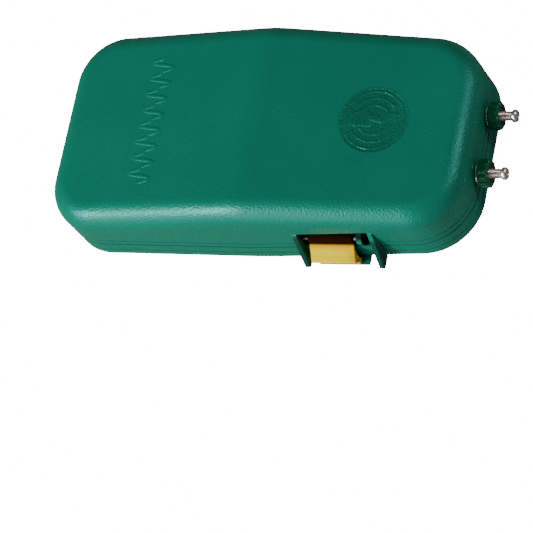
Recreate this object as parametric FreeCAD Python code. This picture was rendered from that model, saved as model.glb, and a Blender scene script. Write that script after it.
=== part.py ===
"""Battery fence energizer: a latched clamshell case with two output terminals, cells and a pulse circuit.

The case lies on its flat back. The origin is the centre of that back face, +Z points out through
the ridged front, +X towards the two output terminals, and -Y towards the latch. Millimetres.
"""

import FreeCAD
import Part
import math
import os

from FreeCAD import Vector

os.makedirs("parts", exist_ok=True)

X_AXIS, Y_AXIS, Z_AXIS = Vector(1, 0, 0), Vector(0, 1, 0), Vector(0, 0, 1)

# ---- case -----------------------------------------------------------------------------------
HALF_LENGTH = 115.0
HALF_WIDTH_PLAIN_END = 55.2       # at the plain end
HALF_WIDTH_RIDGE = 56.2          # widest, in the middle
HALF_WIDTH_TERMINAL_END = 52.2
HEIGHT_END = 37.6
HEIGHT_RIDGE = 48.8
RIDGE_RADIUS = 60.0
CORNER_PLAIN, CORNER_TERMINAL = 27.0, 29.5     # plan corner radii
SIDE_RADIUS = 400.0              # softens the slight kink in the middle of each long side
FRONT_EDGE_RADIUS = 11.3
BACK_EDGE_RADIUS = 2.3
WALL = 2.5
WALL_INSIDE_X = HALF_LENGTH - WALL
SEAM_Z = 12.5                    # top of the back case's rim
SEAM_GAP = 0.1                   # between the two rims
SEAM_GROOVE_DEPTH, SEAM_GROOVE_HEIGHT = 0.8, 0.8
RIM_LINE_Z, RIM_LINE_HEIGHT, RIM_LINE_DEPTH = 16.6, 0.5, 0.35
BACK_LINE_Z = 6.3                # a second line, low on the back case
UPSTAND_IN, UPSTAND_OUT, UPSTAND_TOP = 4.4, 2.9, 15.2   # insets and height of the locating rib
RIM_STEP_Z = 9.0                 # the rim is thicker above this
GASKET_IN, GASKET_OUT = 2.9, 1.1
GASKET_BOTTOM, GASKET_TOP = 10.8, 12.4

# ---- hinge, on the far long side --------------------------------------------------------------
HINGE_Y, HINGE_Z = 60.5, 12.55
HINGE_STATIONS = (-60.0, 55.0)
KNUCKLE_RADIUS, HINGE_PIN_RADIUS, HINGE_BORE_RADIUS = 3.5, 1.5, 1.55
BACK_KNUCKLE = ((-5.0, 5.0),)                  # x from each station
FRONT_KNUCKLES = ((-11.4, -5.4), (5.4, 11.4))

# ---- latch, on the near long side -------------------------------------------------------------
POCKET_X = (27.1, 65.3)
POCKET_Y, POCKET_Z = -46.5, (13.9, 27.5)
POCKET_WALL = 2.0
EAR_THICKNESS, EAR_TOP_Z, EAR_TIP_Y, EAR_BOTTOM_Z = 2.8, 27.0, -62.6, 2.2
EAR_EDGE_RADIUS = 0.5
LATCH_X = (30.0, 54.4)
LATCH_PIN_Y, LATCH_PIN_Z = -52.4, 17.6
LATCH_PIN_X = (25.3, 59.8)
LATCH_PIN_RADIUS, LATCH_BORE_RADIUS, LATCH_HUB_RADIUS = 1.25, 1.33, 2.6
CHEEK_X = (57.0, 59.8)
LUG_X, LEDGE_X = (31.0, 58.6), (32.4, 52.0)
LUG_Y, LUG_Z = -59.4, (0.7, 2.2)
LEDGE_Y, LEDGE_Z = -57.2, (5.0, 7.4)

# ---- front face -------------------------------------------------------------------------------
EMBLEM_X, EMBLEM_Y, EMBLEM_RADIUS, EMBLEM_DEPTH = 64.6, 1.8, 18.4, 0.5

# ---- terminals --------------------------------------------------------------------------------
TERMINAL_Y, TERMINAL_Z = 16.0, 18.0
STUD_RADIUS, STUD_X = 2.5, (104.0, 127.9)
HEAD_X, HEAD_RADIUS, HEAD_ROUNDING = (127.9, 131.1), 3.3, 1.0    # swaged end that keeps the knob on
BOSS_X, BOSS_RADIUS = (111.6, 115.8), 5.2
WASHER_X, WASHER_RADIUS = (115.85, 116.65), 6.3
KNOB_X, KNOB_RADIUS = (116.7, 122.4), 7.5
KNOB_FLUTES, FLUTE_RADIUS = 12, 1.1
THREAD_CLEARANCE = 0.08
LUG_RING_X, LUG_RING_RADIUS = (111.7, 112.5), 5.4
NUT_X, NUT_FLATS = (107.7, 111.7), 8.0

# ---- cells ------------------------------------------------------------------------------------
CELL_RADIUS, CELL_LENGTH = 17.1, 61.5
CELL_CAP_RADIUS, CELL_CAP_HEIGHT = 4.8, 1.5
CELL_Y, CELL_Z = 17.6, 20.1
CELL_GAP = 0.15
CELL_ROW_START = {1: -84.0, -1: -89.2}         # left end of each row, by its side of the middle
HOLDER_X, HOLDER_HALF_WIDTH, HOLDER_Z = (-92.0, 42.1), 36.9, (8.7, 36.4)
HOLDER_END_WALL, HOLDER_CLEARANCE = 2.0, 0.3
HOLDER_TABS = ((-70.0, 41.2), (19.0, 41.2), (-70.0, -41.2), (19.0, -41.2))
HOLDER_TAB_Z = (20.0, 22.0)
CONTACT_THICKNESS, CONTACT_HALF_WIDTH, CONTACT_Z = 0.6, 8.0, (12.0, 33.4)
LEAF_HALF_WIDTH = 4.0

# ---- circuit board ----------------------------------------------------------------------------
BOARD_X, BOARD_Y, BOARD_Z = (46.0, 101.0), (-42.0, 42.0), (28.4, 30.0)
BOARD_POSTS = ((50.0, -37.5), (50.0, 37.5), (97.0, -33.0), (97.0, 33.0))
POST_RADIUS, SCREW_RADIUS, SCREW_HEAD_RADIUS, SCREW_HEAD_HEIGHT = 3.2, 1.3, 2.7, 1.9
SCREW_LENGTH = 8.0
PULSE_CENTRE = (66.0, -24.0)
SWITCH_X, SWITCH_Y, SWITCH_Z = (92.0, 98.4), (18.0, 30.0), (21.4, 28.4)
SLIDER_TRAVEL = 4.0

# ---- keyholes in the back ---------------------------------------------------------------------
KEYHOLES = (-98.0, 104.0)        # x of each round entry; its slot runs towards -X
KEYHOLE_RADIUS, KEYHOLE_SLOT_HALF, KEYHOLE_SLOT = 4.5, 2.3, 8.0
KEYHOLE_POCKET_RADIUS, KEYHOLE_POCKET_TOP, KEYHOLE_BOSS_WALL = 4.8, 6.5, 1.8


# ---- helpers ----------------------------------------------------------------------------------
def box(x, y, z):
    """A block from three (low, high) pairs."""
    return Part.makeBox(x[1] - x[0], y[1] - y[0], z[1] - z[0], Vector(x[0], y[0], z[0]))


def rod(radius, start, direction, length):
    return Part.makeCylinder(radius, length, Vector(*start), direction)


def rod_x(radius, x, y, z):
    """A cylinder along X from x[0] to x[1]."""
    return rod(radius, (x[0], y, z), X_AXIS, x[1] - x[0])


def rod_z(radius, x, y, z):
    """A cylinder along Z from z[0] to z[1]."""
    return rod(radius, (x, y, z[0]), Z_AXIS, z[1] - z[0])


def tube_x(outer, inner, x, y, z):
    return rod_x(outer, x, y, z).cut(rod_x(inner, (x[0] - 1, x[1] + 1), y, z))


def polygon_face(points):
    return Part.Face(Part.makePolygon(points + points[:1]))


def slab_x(profile, x):
    """A (y, z) outline extruded along X."""
    face = polygon_face([Vector(x[0], y, z) for y, z in profile])
    return face.extrude(Vector(x[1] - x[0], 0, 0))


def slab_z(profile, z):
    """An (x, y) outline extruded along Z."""
    face = polygon_face([Vector(px, py, z[0]) for px, py in profile])
    return face.extrude(Vector(0, 0, z[1] - z[0]))


def hexagon_x(across_flats, x, y, z, flat_up=True):
    """A hexagonal block along X."""
    radius = across_flats / math.sqrt(3)
    turn = 0 if flat_up else math.pi / 6
    corners = []
    for i in range(6):
        angle = turn + i * math.pi / 3
        corners.append((y + radius * math.cos(angle), z + radius * math.sin(angle)))
    return slab_x(corners, x)


def fuse(shapes):
    first, *rest = shapes
    return first.multiFuse(rest).removeSplitter() if rest else first


def rounded(solid, radius, wanted):
    """Fillets every edge for which wanted(edge) is true."""
    edges = [e for e in solid.Edges if wanted(e)]
    return solid.makeFillet(radius, edges)


def is_vertical(edge):
    if len(edge.Vertexes) != 2 or edge.Curve.TypeId != "Part::GeomLine":
        return False
    a, b = (v.Point for v in edge.Vertexes)
    return abs(a.z - b.z) > 1e-6 and math.hypot(a.x - b.x, a.y - b.y) < 1e-6


def runs_along_x(edge):
    if len(edge.Vertexes) != 2 or edge.Curve.TypeId != "Part::GeomLine":
        return False
    a, b = (v.Point for v in edge.Vertexes)
    return math.hypot(a.y - b.y, a.z - b.z) < 1e-6


def revolve_x(profile, y, z):
    """A (x, radius) outline turned about the line through (y, z) along X."""
    face = polygon_face([Vector(x, y + r, z) for x, r in profile])
    return face.revolve(Vector(0, y, z), X_AXIS, 360)


def bent_tube(points, radius):
    """A round tube along straight runs joined by arcs, each as large as its two runs allow."""
    p = [Vector(*q) for q in points]
    edges, start = [], p[0]
    for before, corner, after in zip(p, p[1:], p[2:]):
        u = (before - corner).normalize()
        v = (after - corner).normalize()
        reach = 0.45 * min(before.distanceToPoint(corner), after.distanceToPoint(corner))
        a, b = corner + u * reach, corner + v * reach
        half_turn = (math.pi - u.getAngle(v)) / 2
        bend = reach / math.tan(half_turn)
        middle_way = (u + v).normalize()
        to_centre = math.hypot(reach, bend)
        middle = corner + middle_way * (to_centre - bend)
        edges.append(Part.LineSegment(start, a).toShape())
        edges.append(Part.Arc(a, middle, b).toShape())
        start = b
    edges.append(Part.LineSegment(start, p[-1]).toShape())
    path = Part.Wire(edges)
    section = Part.Wire(Part.makeCircle(radius, p[0], p[1] - p[0]))
    return path.makePipeShell([section], True, False)


def save(name, shape):
    """Writes one named piece, or a group of separate solids."""
    solids = shape.Solids
    whole = solids[0] if len(solids) == 1 else Part.makeCompound(solids)
    volume = sum(s.Volume for s in solids)
    good = whole.isValid() and volume > 0
    print(f"{name:24s} solids {len(solids):2d}  volume {volume:10.1f}  {'ok' if good else 'BAD'}")
    whole.exportStep(f"parts/{name}.step")


# ---- the case's outer form --------------------------------------------------------------------
def round_corner(before, corner, after, radius):
    """The two tangent points and the middle of the arc that rounds one corner."""
    u = (before - corner).normalize()
    v = (after - corner).normalize()
    half = u.getAngle(v) / 2
    reach = radius / math.tan(half)
    depth = radius / math.sin(half) - radius
    return corner + u * reach, corner + (u + v).normalize() * depth, corner + v * reach


def rounded_wire(points, radii):
    """A closed wire through the points with each corner rounded by its own radius."""
    count = len(points)
    arcs = []
    for i in range(count):
        arcs.append(round_corner(points[i - 1], points[i], points[(i + 1) % count], radii[i]))
    edges = []
    for i in range(count):
        start, middle, end = arcs[i]
        edges.append(Part.Arc(start, middle, end).toShape())
        edges.append(Part.LineSegment(end, arcs[(i + 1) % count][0]).toShape())
    return Part.Wire(edges)


def plan_prism(inset, z):
    """The case's plan outline, drawn in by inset, as an upright prism."""
    left, right = -HALF_LENGTH + inset, HALF_LENGTH - inset
    plain, ridge, terminal = (
        w - inset for w in (HALF_WIDTH_PLAIN_END, HALF_WIDTH_RIDGE, HALF_WIDTH_TERMINAL_END)
    )
    outline = [
        (left, -plain), (0, -ridge), (right, -terminal),
        (right, terminal), (0, ridge), (left, plain),
    ]
    radii = (CORNER_PLAIN - inset, SIDE_RADIUS - inset, CORNER_TERMINAL - inset)
    wire = rounded_wire([Vector(x, y, z[0]) for x, y in outline], radii + radii[::-1])
    return Part.Face(wire).extrude(Vector(0, 0, z[1] - z[0]))


def roof_prism(drop):
    """The space under the ridged front, as a (x, z) outline extruded along Y and lowered by drop."""
    slope = (HEIGHT_RIDGE - HEIGHT_END) / HALF_LENGTH
    angle = math.atan(slope)
    reach = RIDGE_RADIUS * math.tan(angle)
    run, y0 = HALF_LENGTH + 10, -HALF_WIDTH_RIDGE - 10
    top = HEIGHT_RIDGE - drop
    touch_x, touch_z = reach * math.cos(angle), top - reach * math.sin(angle)
    crown_z = top - RIDGE_RADIUS * (1 / math.cos(angle) - 1)
    far_z = top - run * slope
    left_foot, right_foot = Vector(-run, y0, 0), Vector(run, y0, 0)
    left_eave, right_eave = Vector(-run, y0, far_z), Vector(run, y0, far_z)
    left_touch, right_touch = Vector(-touch_x, y0, touch_z), Vector(touch_x, y0, touch_z)
    edges = [
        Part.LineSegment(left_foot, right_foot).toShape(),
        Part.LineSegment(right_foot, right_eave).toShape(),
        Part.LineSegment(right_eave, right_touch).toShape(),
        Part.Arc(right_touch, Vector(0, y0, crown_z), left_touch).toShape(),
        Part.LineSegment(left_touch, left_eave).toShape(),
        Part.LineSegment(left_eave, left_foot).toShape(),
    ]
    return Part.Face(Part.Wire(edges)).extrude(Vector(0, -2 * y0, 0))


def case_form(inset):
    """The whole case as one solid, drawn in by inset on every side but the back."""
    solid = plan_prism(inset, (0, HEIGHT_RIDGE + 5)).common(roof_prism(inset))
    top_edges = [
        e for e in solid.Edges
        if not is_vertical(e) and e.BoundBox.ZMin > 5 and touches_side(e, inset)
    ]
    return solid.makeFillet(FRONT_EDGE_RADIUS - inset, top_edges)


def touches_side(edge, inset):
    """True if the middle of the edge lies on the plan outline, not across the front."""
    middle = edge.valueAt((edge.FirstParameter + edge.LastParameter) / 2)
    inner = plan_limits(middle.x, inset)
    return abs(middle.y) > inner - 1e-3 or abs(middle.x) > HALF_LENGTH - CORNER_TERMINAL - 1e-3


def plan_limits(x, inset):
    """Half the case's width at x, away from the corners and the slight kink in the middle."""
    end = HALF_WIDTH_PLAIN_END if x < 0 else HALF_WIDTH_TERMINAL_END
    return HALF_WIDTH_RIDGE - (HALF_WIDTH_RIDGE - end) * abs(x) / HALF_LENGTH - inset - 0.2


def front_height(x):
    """Height of the ridged front at x."""
    return HEIGHT_RIDGE - (HEIGHT_RIDGE - HEIGHT_END) * abs(x) / HALF_LENGTH


def rim_groove(depth, z):
    """A shallow groove all round the case."""
    return plan_prism(-2, z).cut(plan_prism(depth, (z[0] - 1, z[1] + 1)))


def wall_y(x):
    """Distance of the long sides from the middle at x."""
    end = HALF_WIDTH_PLAIN_END if x < 0 else HALF_WIDTH_TERMINAL_END
    return HALF_WIDTH_RIDGE - (HALF_WIDTH_RIDGE - end) * abs(x) / HALF_LENGTH


# ---- the back case and what stays on it ---------------------------------------------------------
def knuckles(spans, z_side, bore):
    """Hinge knuckles at both stations, each with a web into the case wall on its own side."""
    shapes = []
    for station in HINGE_STATIONS:
        for low, high in spans:
            x = (station + low, station + high)
            root = wall_y(station) - 0.9
            web = box(x, (root, HINGE_Y), sorted((HINGE_Z + 0.05 * z_side, HINGE_Z + 3.2 * z_side)))
            shapes.append(web.fuse(rod_x(KNUCKLE_RADIUS, x, HINGE_Y, HINGE_Z)))
    whole = shapes[0].multiFuse(shapes[1:])
    holes = [rod_x(bore, (s - 20, s + 20), HINGE_Y, HINGE_Z) for s in HINGE_STATIONS]
    return whole.cut(holes)


def stadium(radius, x, z):
    """An upright slot form between two x positions on the middle line."""
    middle = box(x, (-radius, radius), z)
    return fuse([middle, rod_z(radius, x[0], 0, z), rod_z(radius, x[1], 0, z)])


def keyhole_pocket(entry, extra):
    """The space behind one keyhole, grown by extra."""
    top = KEYHOLE_POCKET_TOP + extra
    return stadium(KEYHOLE_POCKET_RADIUS + extra, (entry - KEYHOLE_SLOT, entry), (WALL - 0.5, top))


def keyhole_cut(entry):
    hole = rod_z(KEYHOLE_RADIUS, entry, 0, (-1, WALL))
    slot = stadium(KEYHOLE_SLOT_HALF, (entry - KEYHOLE_SLOT, entry), (-1, WALL))
    pocket = keyhole_pocket(entry, 0).common(box((-200, 200), (-20, 20), (WALL, 20)))
    return fuse([hole, slot, pocket])


def catch_lug():
    """The foot and the ledge that the latch hooks under."""
    foot = box(LUG_X, (LUG_Y, -wall_y(LUG_X[1]) + 1.5), LUG_Z)
    y, (low, high) = LEDGE_Y, LEDGE_Z
    root = -wall_y(LEDGE_X[1]) + 1.5
    ledge = slab_x([(root, low), (y, low), (y, high - 0.9), (y + 0.9, high), (root, high)], LEDGE_X)
    return [foot, ledge]


def back_case():
    tray = plan_prism(0, (0, SEAM_Z - SEAM_GAP))
    tray = rounded(tray, BACK_EDGE_RADIUS, lambda e: e.BoundBox.ZMax < 1e-6)
    hollow = plan_prism(WALL, (WALL, RIM_STEP_Z)).fuse(plan_prism(UPSTAND_IN, (RIM_STEP_Z - 1, 40)))
    back_line = rim_groove(RIM_LINE_DEPTH, (BACK_LINE_Z, BACK_LINE_Z + RIM_LINE_HEIGHT))
    tray = tray.cut([hollow, back_line])
    upstand = plan_prism(UPSTAND_OUT, (SEAM_Z - 1, UPSTAND_TOP)).cut(plan_prism(UPSTAND_IN, (0, 40)))
    latch_notch = box((POCKET_X[0] - 4.5, POCKET_X[1] + 4.5), (-70, -40), (SEAM_Z - SEAM_GAP, 40))
    terminal_notch = box((100, 120), (-24, 24), (SEAM_Z - SEAM_GAP, 40))
    upstand = upstand.cut([latch_notch, terminal_notch])
    bosses = [keyhole_pocket(x, KEYHOLE_BOSS_WALL) for x in KEYHOLES]
    inside = plan_prism(WALL - 0.5, (WALL - 0.5, 30))
    bosses = [b.common(inside) for b in bosses]
    tray = tray.multiFuse([upstand] + bosses + catch_lug())
    groove = plan_prism(GASKET_OUT, (GASKET_BOTTOM, 13)).cut(plan_prism(GASKET_IN, (0, 40)))
    tray = tray.cut([groove] + [keyhole_cut(x) for x in KEYHOLES])
    return tray.fuse(knuckles(BACK_KNUCKLE, -1, HINGE_PIN_RADIUS)).removeSplitter()


def gasket():
    ring = plan_prism(GASKET_OUT, (GASKET_BOTTOM, GASKET_TOP - 0.1))
    return ring.cut(plan_prism(GASKET_IN, (0, 40)))


def hinge_pins():
    reach = FRONT_KNUCKLES[1][1]
    pins = [rod_x(HINGE_PIN_RADIUS, (s - reach, s + reach), HINGE_Y, HINGE_Z) for s in HINGE_STATIONS]
    return Part.makeCompound(pins)


# ---- the front case ---------------------------------------------------------------------------
def ear(x):
    """One of the two gussets that shield the latch, hanging down past the seam."""
    root, clear = -wall_y(x[0]) + 1.5, -wall_y(x[0]) - 0.5
    outline = [
        (root, EAR_TOP_Z + 1), (-wall_y(x[0]) - 0.3, EAR_TOP_Z), (EAR_TIP_Y, EAR_BOTTOM_Z + 1.6),
        (EAR_TIP_Y + 0.8, EAR_BOTTOM_Z), (clear - 1.2, EAR_BOTTOM_Z), (clear, EAR_BOTTOM_Z + 1.2),
        (clear, SEAM_Z + 0.3), (root, SEAM_Z + 0.3),
    ]
    gusset = slab_x(outline, x)
    return rounded(gusset, EAR_EDGE_RADIUS, lambda e: e.BoundBox.YMin < EAR_TIP_Y + 2.5)


def hanging_post(x, y, z):
    """A screw post from z up into the front's thickness, with its pilot hole."""
    top = front_height(x) - 1.2
    post = rod_z(POST_RADIUS, x, y, (z, top))
    return post.cut(rod_z(SCREW_RADIUS, x, y, (z - 1, z + SCREW_LENGTH)))


def front_posts():
    posts = [hanging_post(x, y, BOARD_Z[1]) for x, y in BOARD_POSTS]
    return posts + [hanging_post(x, y, HOLDER_TAB_Z[1]) for x, y in HOLDER_TABS]


def pocket_block():
    """Solid stock behind the latch, which the pocket is then cut from."""
    x = (POCKET_X[0] - EAR_THICKNESS, POCKET_X[1] + EAR_THICKNESS)
    stock = box(x, (-HALF_WIDTH_RIDGE, POCKET_Y + POCKET_WALL), (SEAM_Z, POCKET_Z[1] + POCKET_WALL))
    return stock.common(plan_prism(0.8, (0, 60)))


def cheek():
    """The wall in the pocket that holds the latch pin's far end."""
    outline = [
        (POCKET_Y + 1, POCKET_Z[0] - 0.5), (-54.6, POCKET_Z[0] - 0.5), (-55.6, LATCH_PIN_Z + 0.5),
        (-54.2, LATCH_PIN_Z + 3.2), (POCKET_Y + 1, LATCH_PIN_Z + 6),
    ]
    return slab_x(outline, CHEEK_X)


def emblem_recess():
    slope = (HEIGHT_RIDGE - HEIGHT_END) / HALF_LENGTH
    normal = Vector(slope, 0, 1).normalize()
    centre = Vector(EMBLEM_X, EMBLEM_Y, front_height(EMBLEM_X))
    return Part.makeCylinder(EMBLEM_RADIUS, 5, centre - normal * EMBLEM_DEPTH, normal)


def front_case():
    above_seam = box((-200, 200), (-200, 200), (SEAM_Z, 100))
    shell = case_form(0).common(above_seam).cut(case_form(WALL))
    shell = shell.cut(rim_groove(SEAM_GROOVE_DEPTH, (SEAM_Z, SEAM_Z + SEAM_GROOVE_HEIGHT)))
    shell = shell.cut(rim_groove(RIM_LINE_DEPTH, (RIM_LINE_Z, RIM_LINE_Z + RIM_LINE_HEIGHT)))
    left_ear = (POCKET_X[0] - EAR_THICKNESS, POCKET_X[0])
    right_ear = (POCKET_X[1], POCKET_X[1] + EAR_THICKNESS)
    bosses = [rod_x(BOSS_RADIUS, BOSS_X, side * TERMINAL_Y, TERMINAL_Z) for side in (1, -1)]
    bosses = [b.cut(box((100, WALL_INSIDE_X), (-50, 50), (0, 50))) for b in bosses]
    shell = shell.multiFuse([pocket_block(), ear(left_ear), ear(right_ear)] + bosses + front_posts())
    pocket = box(POCKET_X, (-80, POCKET_Y), POCKET_Z)
    studs = [rod_x(STUD_RADIUS, (100, 120), side * TERMINAL_Y, TERMINAL_Z) for side in (1, -1)]
    shell = shell.cut([pocket, emblem_recess()] + studs)
    shell = shell.multiFuse([cheek(), knuckles(FRONT_KNUCKLES, 1, HINGE_BORE_RADIUS)])
    shell = shell.cut(rod_x(LATCH_PIN_RADIUS, LATCH_PIN_X, LATCH_PIN_Y, LATCH_PIN_Z))
    return shell.removeSplitter()


def latch_pin():
    return rod_x(LATCH_PIN_RADIUS, LATCH_PIN_X, LATCH_PIN_Y, LATCH_PIN_Z)


# ---- the latch ---------------------------------------------------------------------------------
def latch():
    """The lever: a hub on the pin, a sloping face with a finger lip, and a hook below the ledge."""
    outline = [
        (-54.9, LATCH_PIN_Z - 1.4), (-62.3, 9.5), (-62.5, 8.9), (-62.2, 8.4), (-60.4, 7.6),
        (-60.0, 6.9), (-60.0, 3.2), (-59.4, 2.6), (-57.1, 2.6),
        (-56.5, 3.2), (-56.5, LEDGE_Z[0] - 0.4), (LEDGE_Y - 0.4, LEDGE_Z[0] - 0.1),
        (LEDGE_Y - 0.4, LEDGE_Z[1] + 0.6), (-55.8, 13.4), (-53.2, LATCH_PIN_Z - 2.2),
        (-50.3, LATCH_PIN_Z + 0.6), (-50.9, LATCH_PIN_Z + 2.1), (-54.6, LATCH_PIN_Z + 1.6),
    ]
    plate = slab_x(outline, LATCH_X)
    hub = rod_x(LATCH_HUB_RADIUS, LATCH_X, LATCH_PIN_Y, LATCH_PIN_Z)
    lever = plate.fuse(hub).removeSplitter()
    bore = rod_x(LATCH_BORE_RADIUS, (LATCH_X[0] - 1, LATCH_X[1] + 1), LATCH_PIN_Y, LATCH_PIN_Z)
    return lever.cut(bore)


# ---- terminals --------------------------------------------------------------------------------
def one_stud(y):
    thread = rod_x(STUD_RADIUS, STUD_X, y, TERMINAL_Z)
    head = rod_x(HEAD_RADIUS, HEAD_X, y, TERMINAL_Z)
    head = rounded(head, HEAD_ROUNDING, lambda e: e.BoundBox.XMin > HEAD_X[1] - 1e-3)
    return fuse([thread, head])


def terminal_studs():
    return Part.makeCompound([one_stud(side * TERMINAL_Y) for side in (1, -1)])


def stud_nuts():
    nuts = []
    for y in (TERMINAL_Y, -TERMINAL_Y):
        nut = hexagon_x(NUT_FLATS, NUT_X, y, TERMINAL_Z)
        nuts.append(nut.cut(rod_x(STUD_RADIUS, (100, 120), y, TERMINAL_Z)))
    return Part.makeCompound(nuts)


def ring_lugs():
    """Eyelets under the inner nuts, each with a tail and a crimped barrel."""
    lugs = []
    for y in (TERMINAL_Y, -TERMINAL_Y):
        ring = rod_x(LUG_RING_RADIUS, LUG_RING_X, y, TERMINAL_Z)
        tail = box(LUG_RING_X, (y - 1.8, y + 1.8), (TERMINAL_Z + 4, 26))
        barrel = rod_z(1.5, LUG_RING_X[0] - 0.9, y, (TERMINAL_Z + 5.6, 26))
        eyelet = fuse([ring, tail, barrel])
        lugs.append(eyelet.cut(rod_x(STUD_RADIUS, (100, 120), y, TERMINAL_Z)))
    return Part.makeCompound(lugs)


def output_wires():
    wires = []
    middle = (BOARD_Z[0] + BOARD_Z[1]) / 2
    x = LUG_RING_X[0] - 0.9
    for y in (TERMINAL_Y, -TERMINAL_Y):
        wires.append(bent_tube([(x, y, 26), (x, y, middle), (BOARD_X[1], y, middle)], 0.7))
    return Part.makeCompound(wires)


def washer(y):
    return tube_x(WASHER_RADIUS, STUD_RADIUS + THREAD_CLEARANCE, WASHER_X, y, TERMINAL_Z)


def knob(y):
    """A fluted terminal knob with a rounded outer rim."""
    body = rod_x(KNOB_RADIUS, KNOB_X, y, TERMINAL_Z)
    body = rounded(body, 1.2, lambda e: e.BoundBox.XMin > KNOB_X[1] - 1e-3)
    flutes = []
    for i in range(KNOB_FLUTES):
        angle = 2 * math.pi * i / KNOB_FLUTES
        reach = KNOB_RADIUS + 0.25
        fy, fz = y + reach * math.cos(angle), TERMINAL_Z + reach * math.sin(angle)
        flutes.append(rod_x(FLUTE_RADIUS, (KNOB_X[0] + 0.9, KNOB_X[1] + 1), fy, fz))
    bore = rod_x(STUD_RADIUS + THREAD_CLEARANCE, (KNOB_X[0] - 1, KNOB_X[1] + 1), y, TERMINAL_Z)
    return body.cut(flutes + [bore])


# ---- cells and their holder -------------------------------------------------------------------
def one_cell(x, y, nose):
    """A round cell from x, with its positive nose pointing along nose (+1 or -1)."""
    can_length = CELL_LENGTH - CELL_CAP_HEIGHT
    if nose > 0:
        can, cap = (x, x + can_length), (x + can_length - 0.5, x + CELL_LENGTH)
    else:
        can, cap = (x + CELL_CAP_HEIGHT, x + CELL_LENGTH), (x, x + CELL_CAP_HEIGHT + 0.5)
    body = rounded(rod_x(CELL_RADIUS, can, y, CELL_Z), 0.8, lambda e: e.Curve.TypeId == "Part::GeomCircle")
    return body.fuse(rod_x(CELL_CAP_RADIUS, cap, y, CELL_Z)).removeSplitter()


def cells():
    found = []
    for side, start in CELL_ROW_START.items():
        for place in range(2):
            found.append(one_cell(start + place * (CELL_LENGTH + CELL_GAP), side * CELL_Y, side))
    return Part.makeCompound(found)


def cell_holder():
    """A cradle over the cells, open towards the back, with four screw tabs."""
    low, high = HOLDER_X
    stock = box(HOLDER_X, (-HOLDER_HALF_WIDTH, HOLDER_HALF_WIDTH), HOLDER_Z)
    bay = (low + HOLDER_END_WALL, high - HOLDER_END_WALL)
    cuts = []
    for side in (1, -1):
        radius, y = CELL_RADIUS + HOLDER_CLEARANCE, side * CELL_Y
        cuts.append(rod_x(radius, bay, y, CELL_Z))
        cuts.append(box(bay, sorted((side * 0.6, side * (HOLDER_HALF_WIDTH - 1.8))), (0, CELL_Z)))
        cuts.append(rod_x(1.2, (high - 5, high + 1), y, CONTACT_Z[1] - 1.0))
    tabs = []
    for x, y in HOLDER_TABS:
        inner, outer = sorted((y - 4.3 if y > 0 else y + 4.3, y + 3.6 if y > 0 else y - 3.6))
        tab = box((x - 4, x + 4), (inner - 0.2, outer + 0.2), HOLDER_TAB_Z)
        tabs.append(tab.cut(rod_z(SCREW_RADIUS + 0.2, x, y, (0, 40))))
    windows = [box((x - 11, x + 11), (-60, 60), (24, 31)) for x in (-46.0, -2.0)]
    return stock.cut(cuts + windows).multiFuse(tabs).removeSplitter()


def contact_plate(x, y):
    return box((x, x + CONTACT_THICKNESS), y, CONTACT_Z)


def cell_contacts():
    """One plate joins both rows at the plain end; two single plates face the circuit board."""
    low, high = HOLDER_X[0] + HOLDER_END_WALL, HOLDER_X[1] - HOLDER_END_WALL
    reach = CELL_Y + CONTACT_HALF_WIDTH
    rib = box((low - 1, low + 5), (-0.7, 0.7), (0, 60))
    joined = contact_plate(low, (-reach, reach)).cut(box((-200, 200), (-9, 9), (20, 60)))
    plates = [joined.cut(rib)]
    for side in (1, -1):
        y = (side * CELL_Y - CONTACT_HALF_WIDTH, side * CELL_Y + CONTACT_HALF_WIDTH)
        plates.append(contact_plate(high - CONTACT_THICKNESS, y))
    return plates


def leaf(x, y, length, side):
    """A bowed leaf between a contact plate at x and a cell: side is +1 if the cell is towards +X."""
    reach = side * length
    outer = [(0, -9), (0.35, -8), (1, -1.6), (1, 1.6), (0.35, 8), (0, 9)]
    inner = [(0, 7.4), (0.2, 7.2), (0.88, 1.2), (0.88, -1.2), (0.2, -7.2), (0, -7.4)]
    corners = [Vector(x + reach * u, y - LEAF_HALF_WIDTH, CELL_Z + v) for u, v in outer + inner]
    return polygon_face(corners).extrude(Vector(0, 2 * LEAF_HALF_WIDTH, 0))


def cell_springs():
    low, high = HOLDER_X[0] + HOLDER_END_WALL, HOLDER_X[1] - HOLDER_END_WALL
    first_start = low + CONTACT_THICKNESS
    first = leaf(first_start, CELL_Y, CELL_ROW_START[1] - first_start, 1)
    row_end = CELL_ROW_START[-1] + 2 * CELL_LENGTH + CELL_GAP
    last_start = high - CONTACT_THICKNESS
    second = leaf(last_start, -CELL_Y, last_start - row_end, -1)
    return Part.makeCompound([first, second])


def battery_wires():
    wires = []
    x, z = HOLDER_X[1] - HOLDER_END_WALL, CONTACT_Z[1] - 1.0
    for y in (CELL_Y, -CELL_Y):
        wires.append(bent_tube([(x, y, z), (49.5, y, z), (49.5, y, BOARD_Z[1])], 0.7))
    return Part.makeCompound(wires)


def screws(places, seat):
    """Pan-head screws driven upwards, their heads just below seat."""
    made = []
    for x, y in places:
        shank = rod_z(SCREW_RADIUS, x, y, (seat - 0.1, seat + SCREW_LENGTH))
        head = rod_z(SCREW_HEAD_RADIUS, x, y, (seat - SCREW_HEAD_HEIGHT, seat))
        head = rounded(head, 1.0, lambda e: e.BoundBox.ZMax < seat - SCREW_HEAD_HEIGHT + 1e-3)
        cross = [
            box((x - 1.6, x + 1.6), (y - 0.35, y + 0.35), (seat - 4, seat - 0.8)),
            box((x - 0.35, x + 0.35), (y - 1.6, y + 1.6), (seat - 4, seat - 0.8)),
        ]
        made.append(shank.fuse(head).cut(cross))
    return Part.makeCompound(made)


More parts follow.
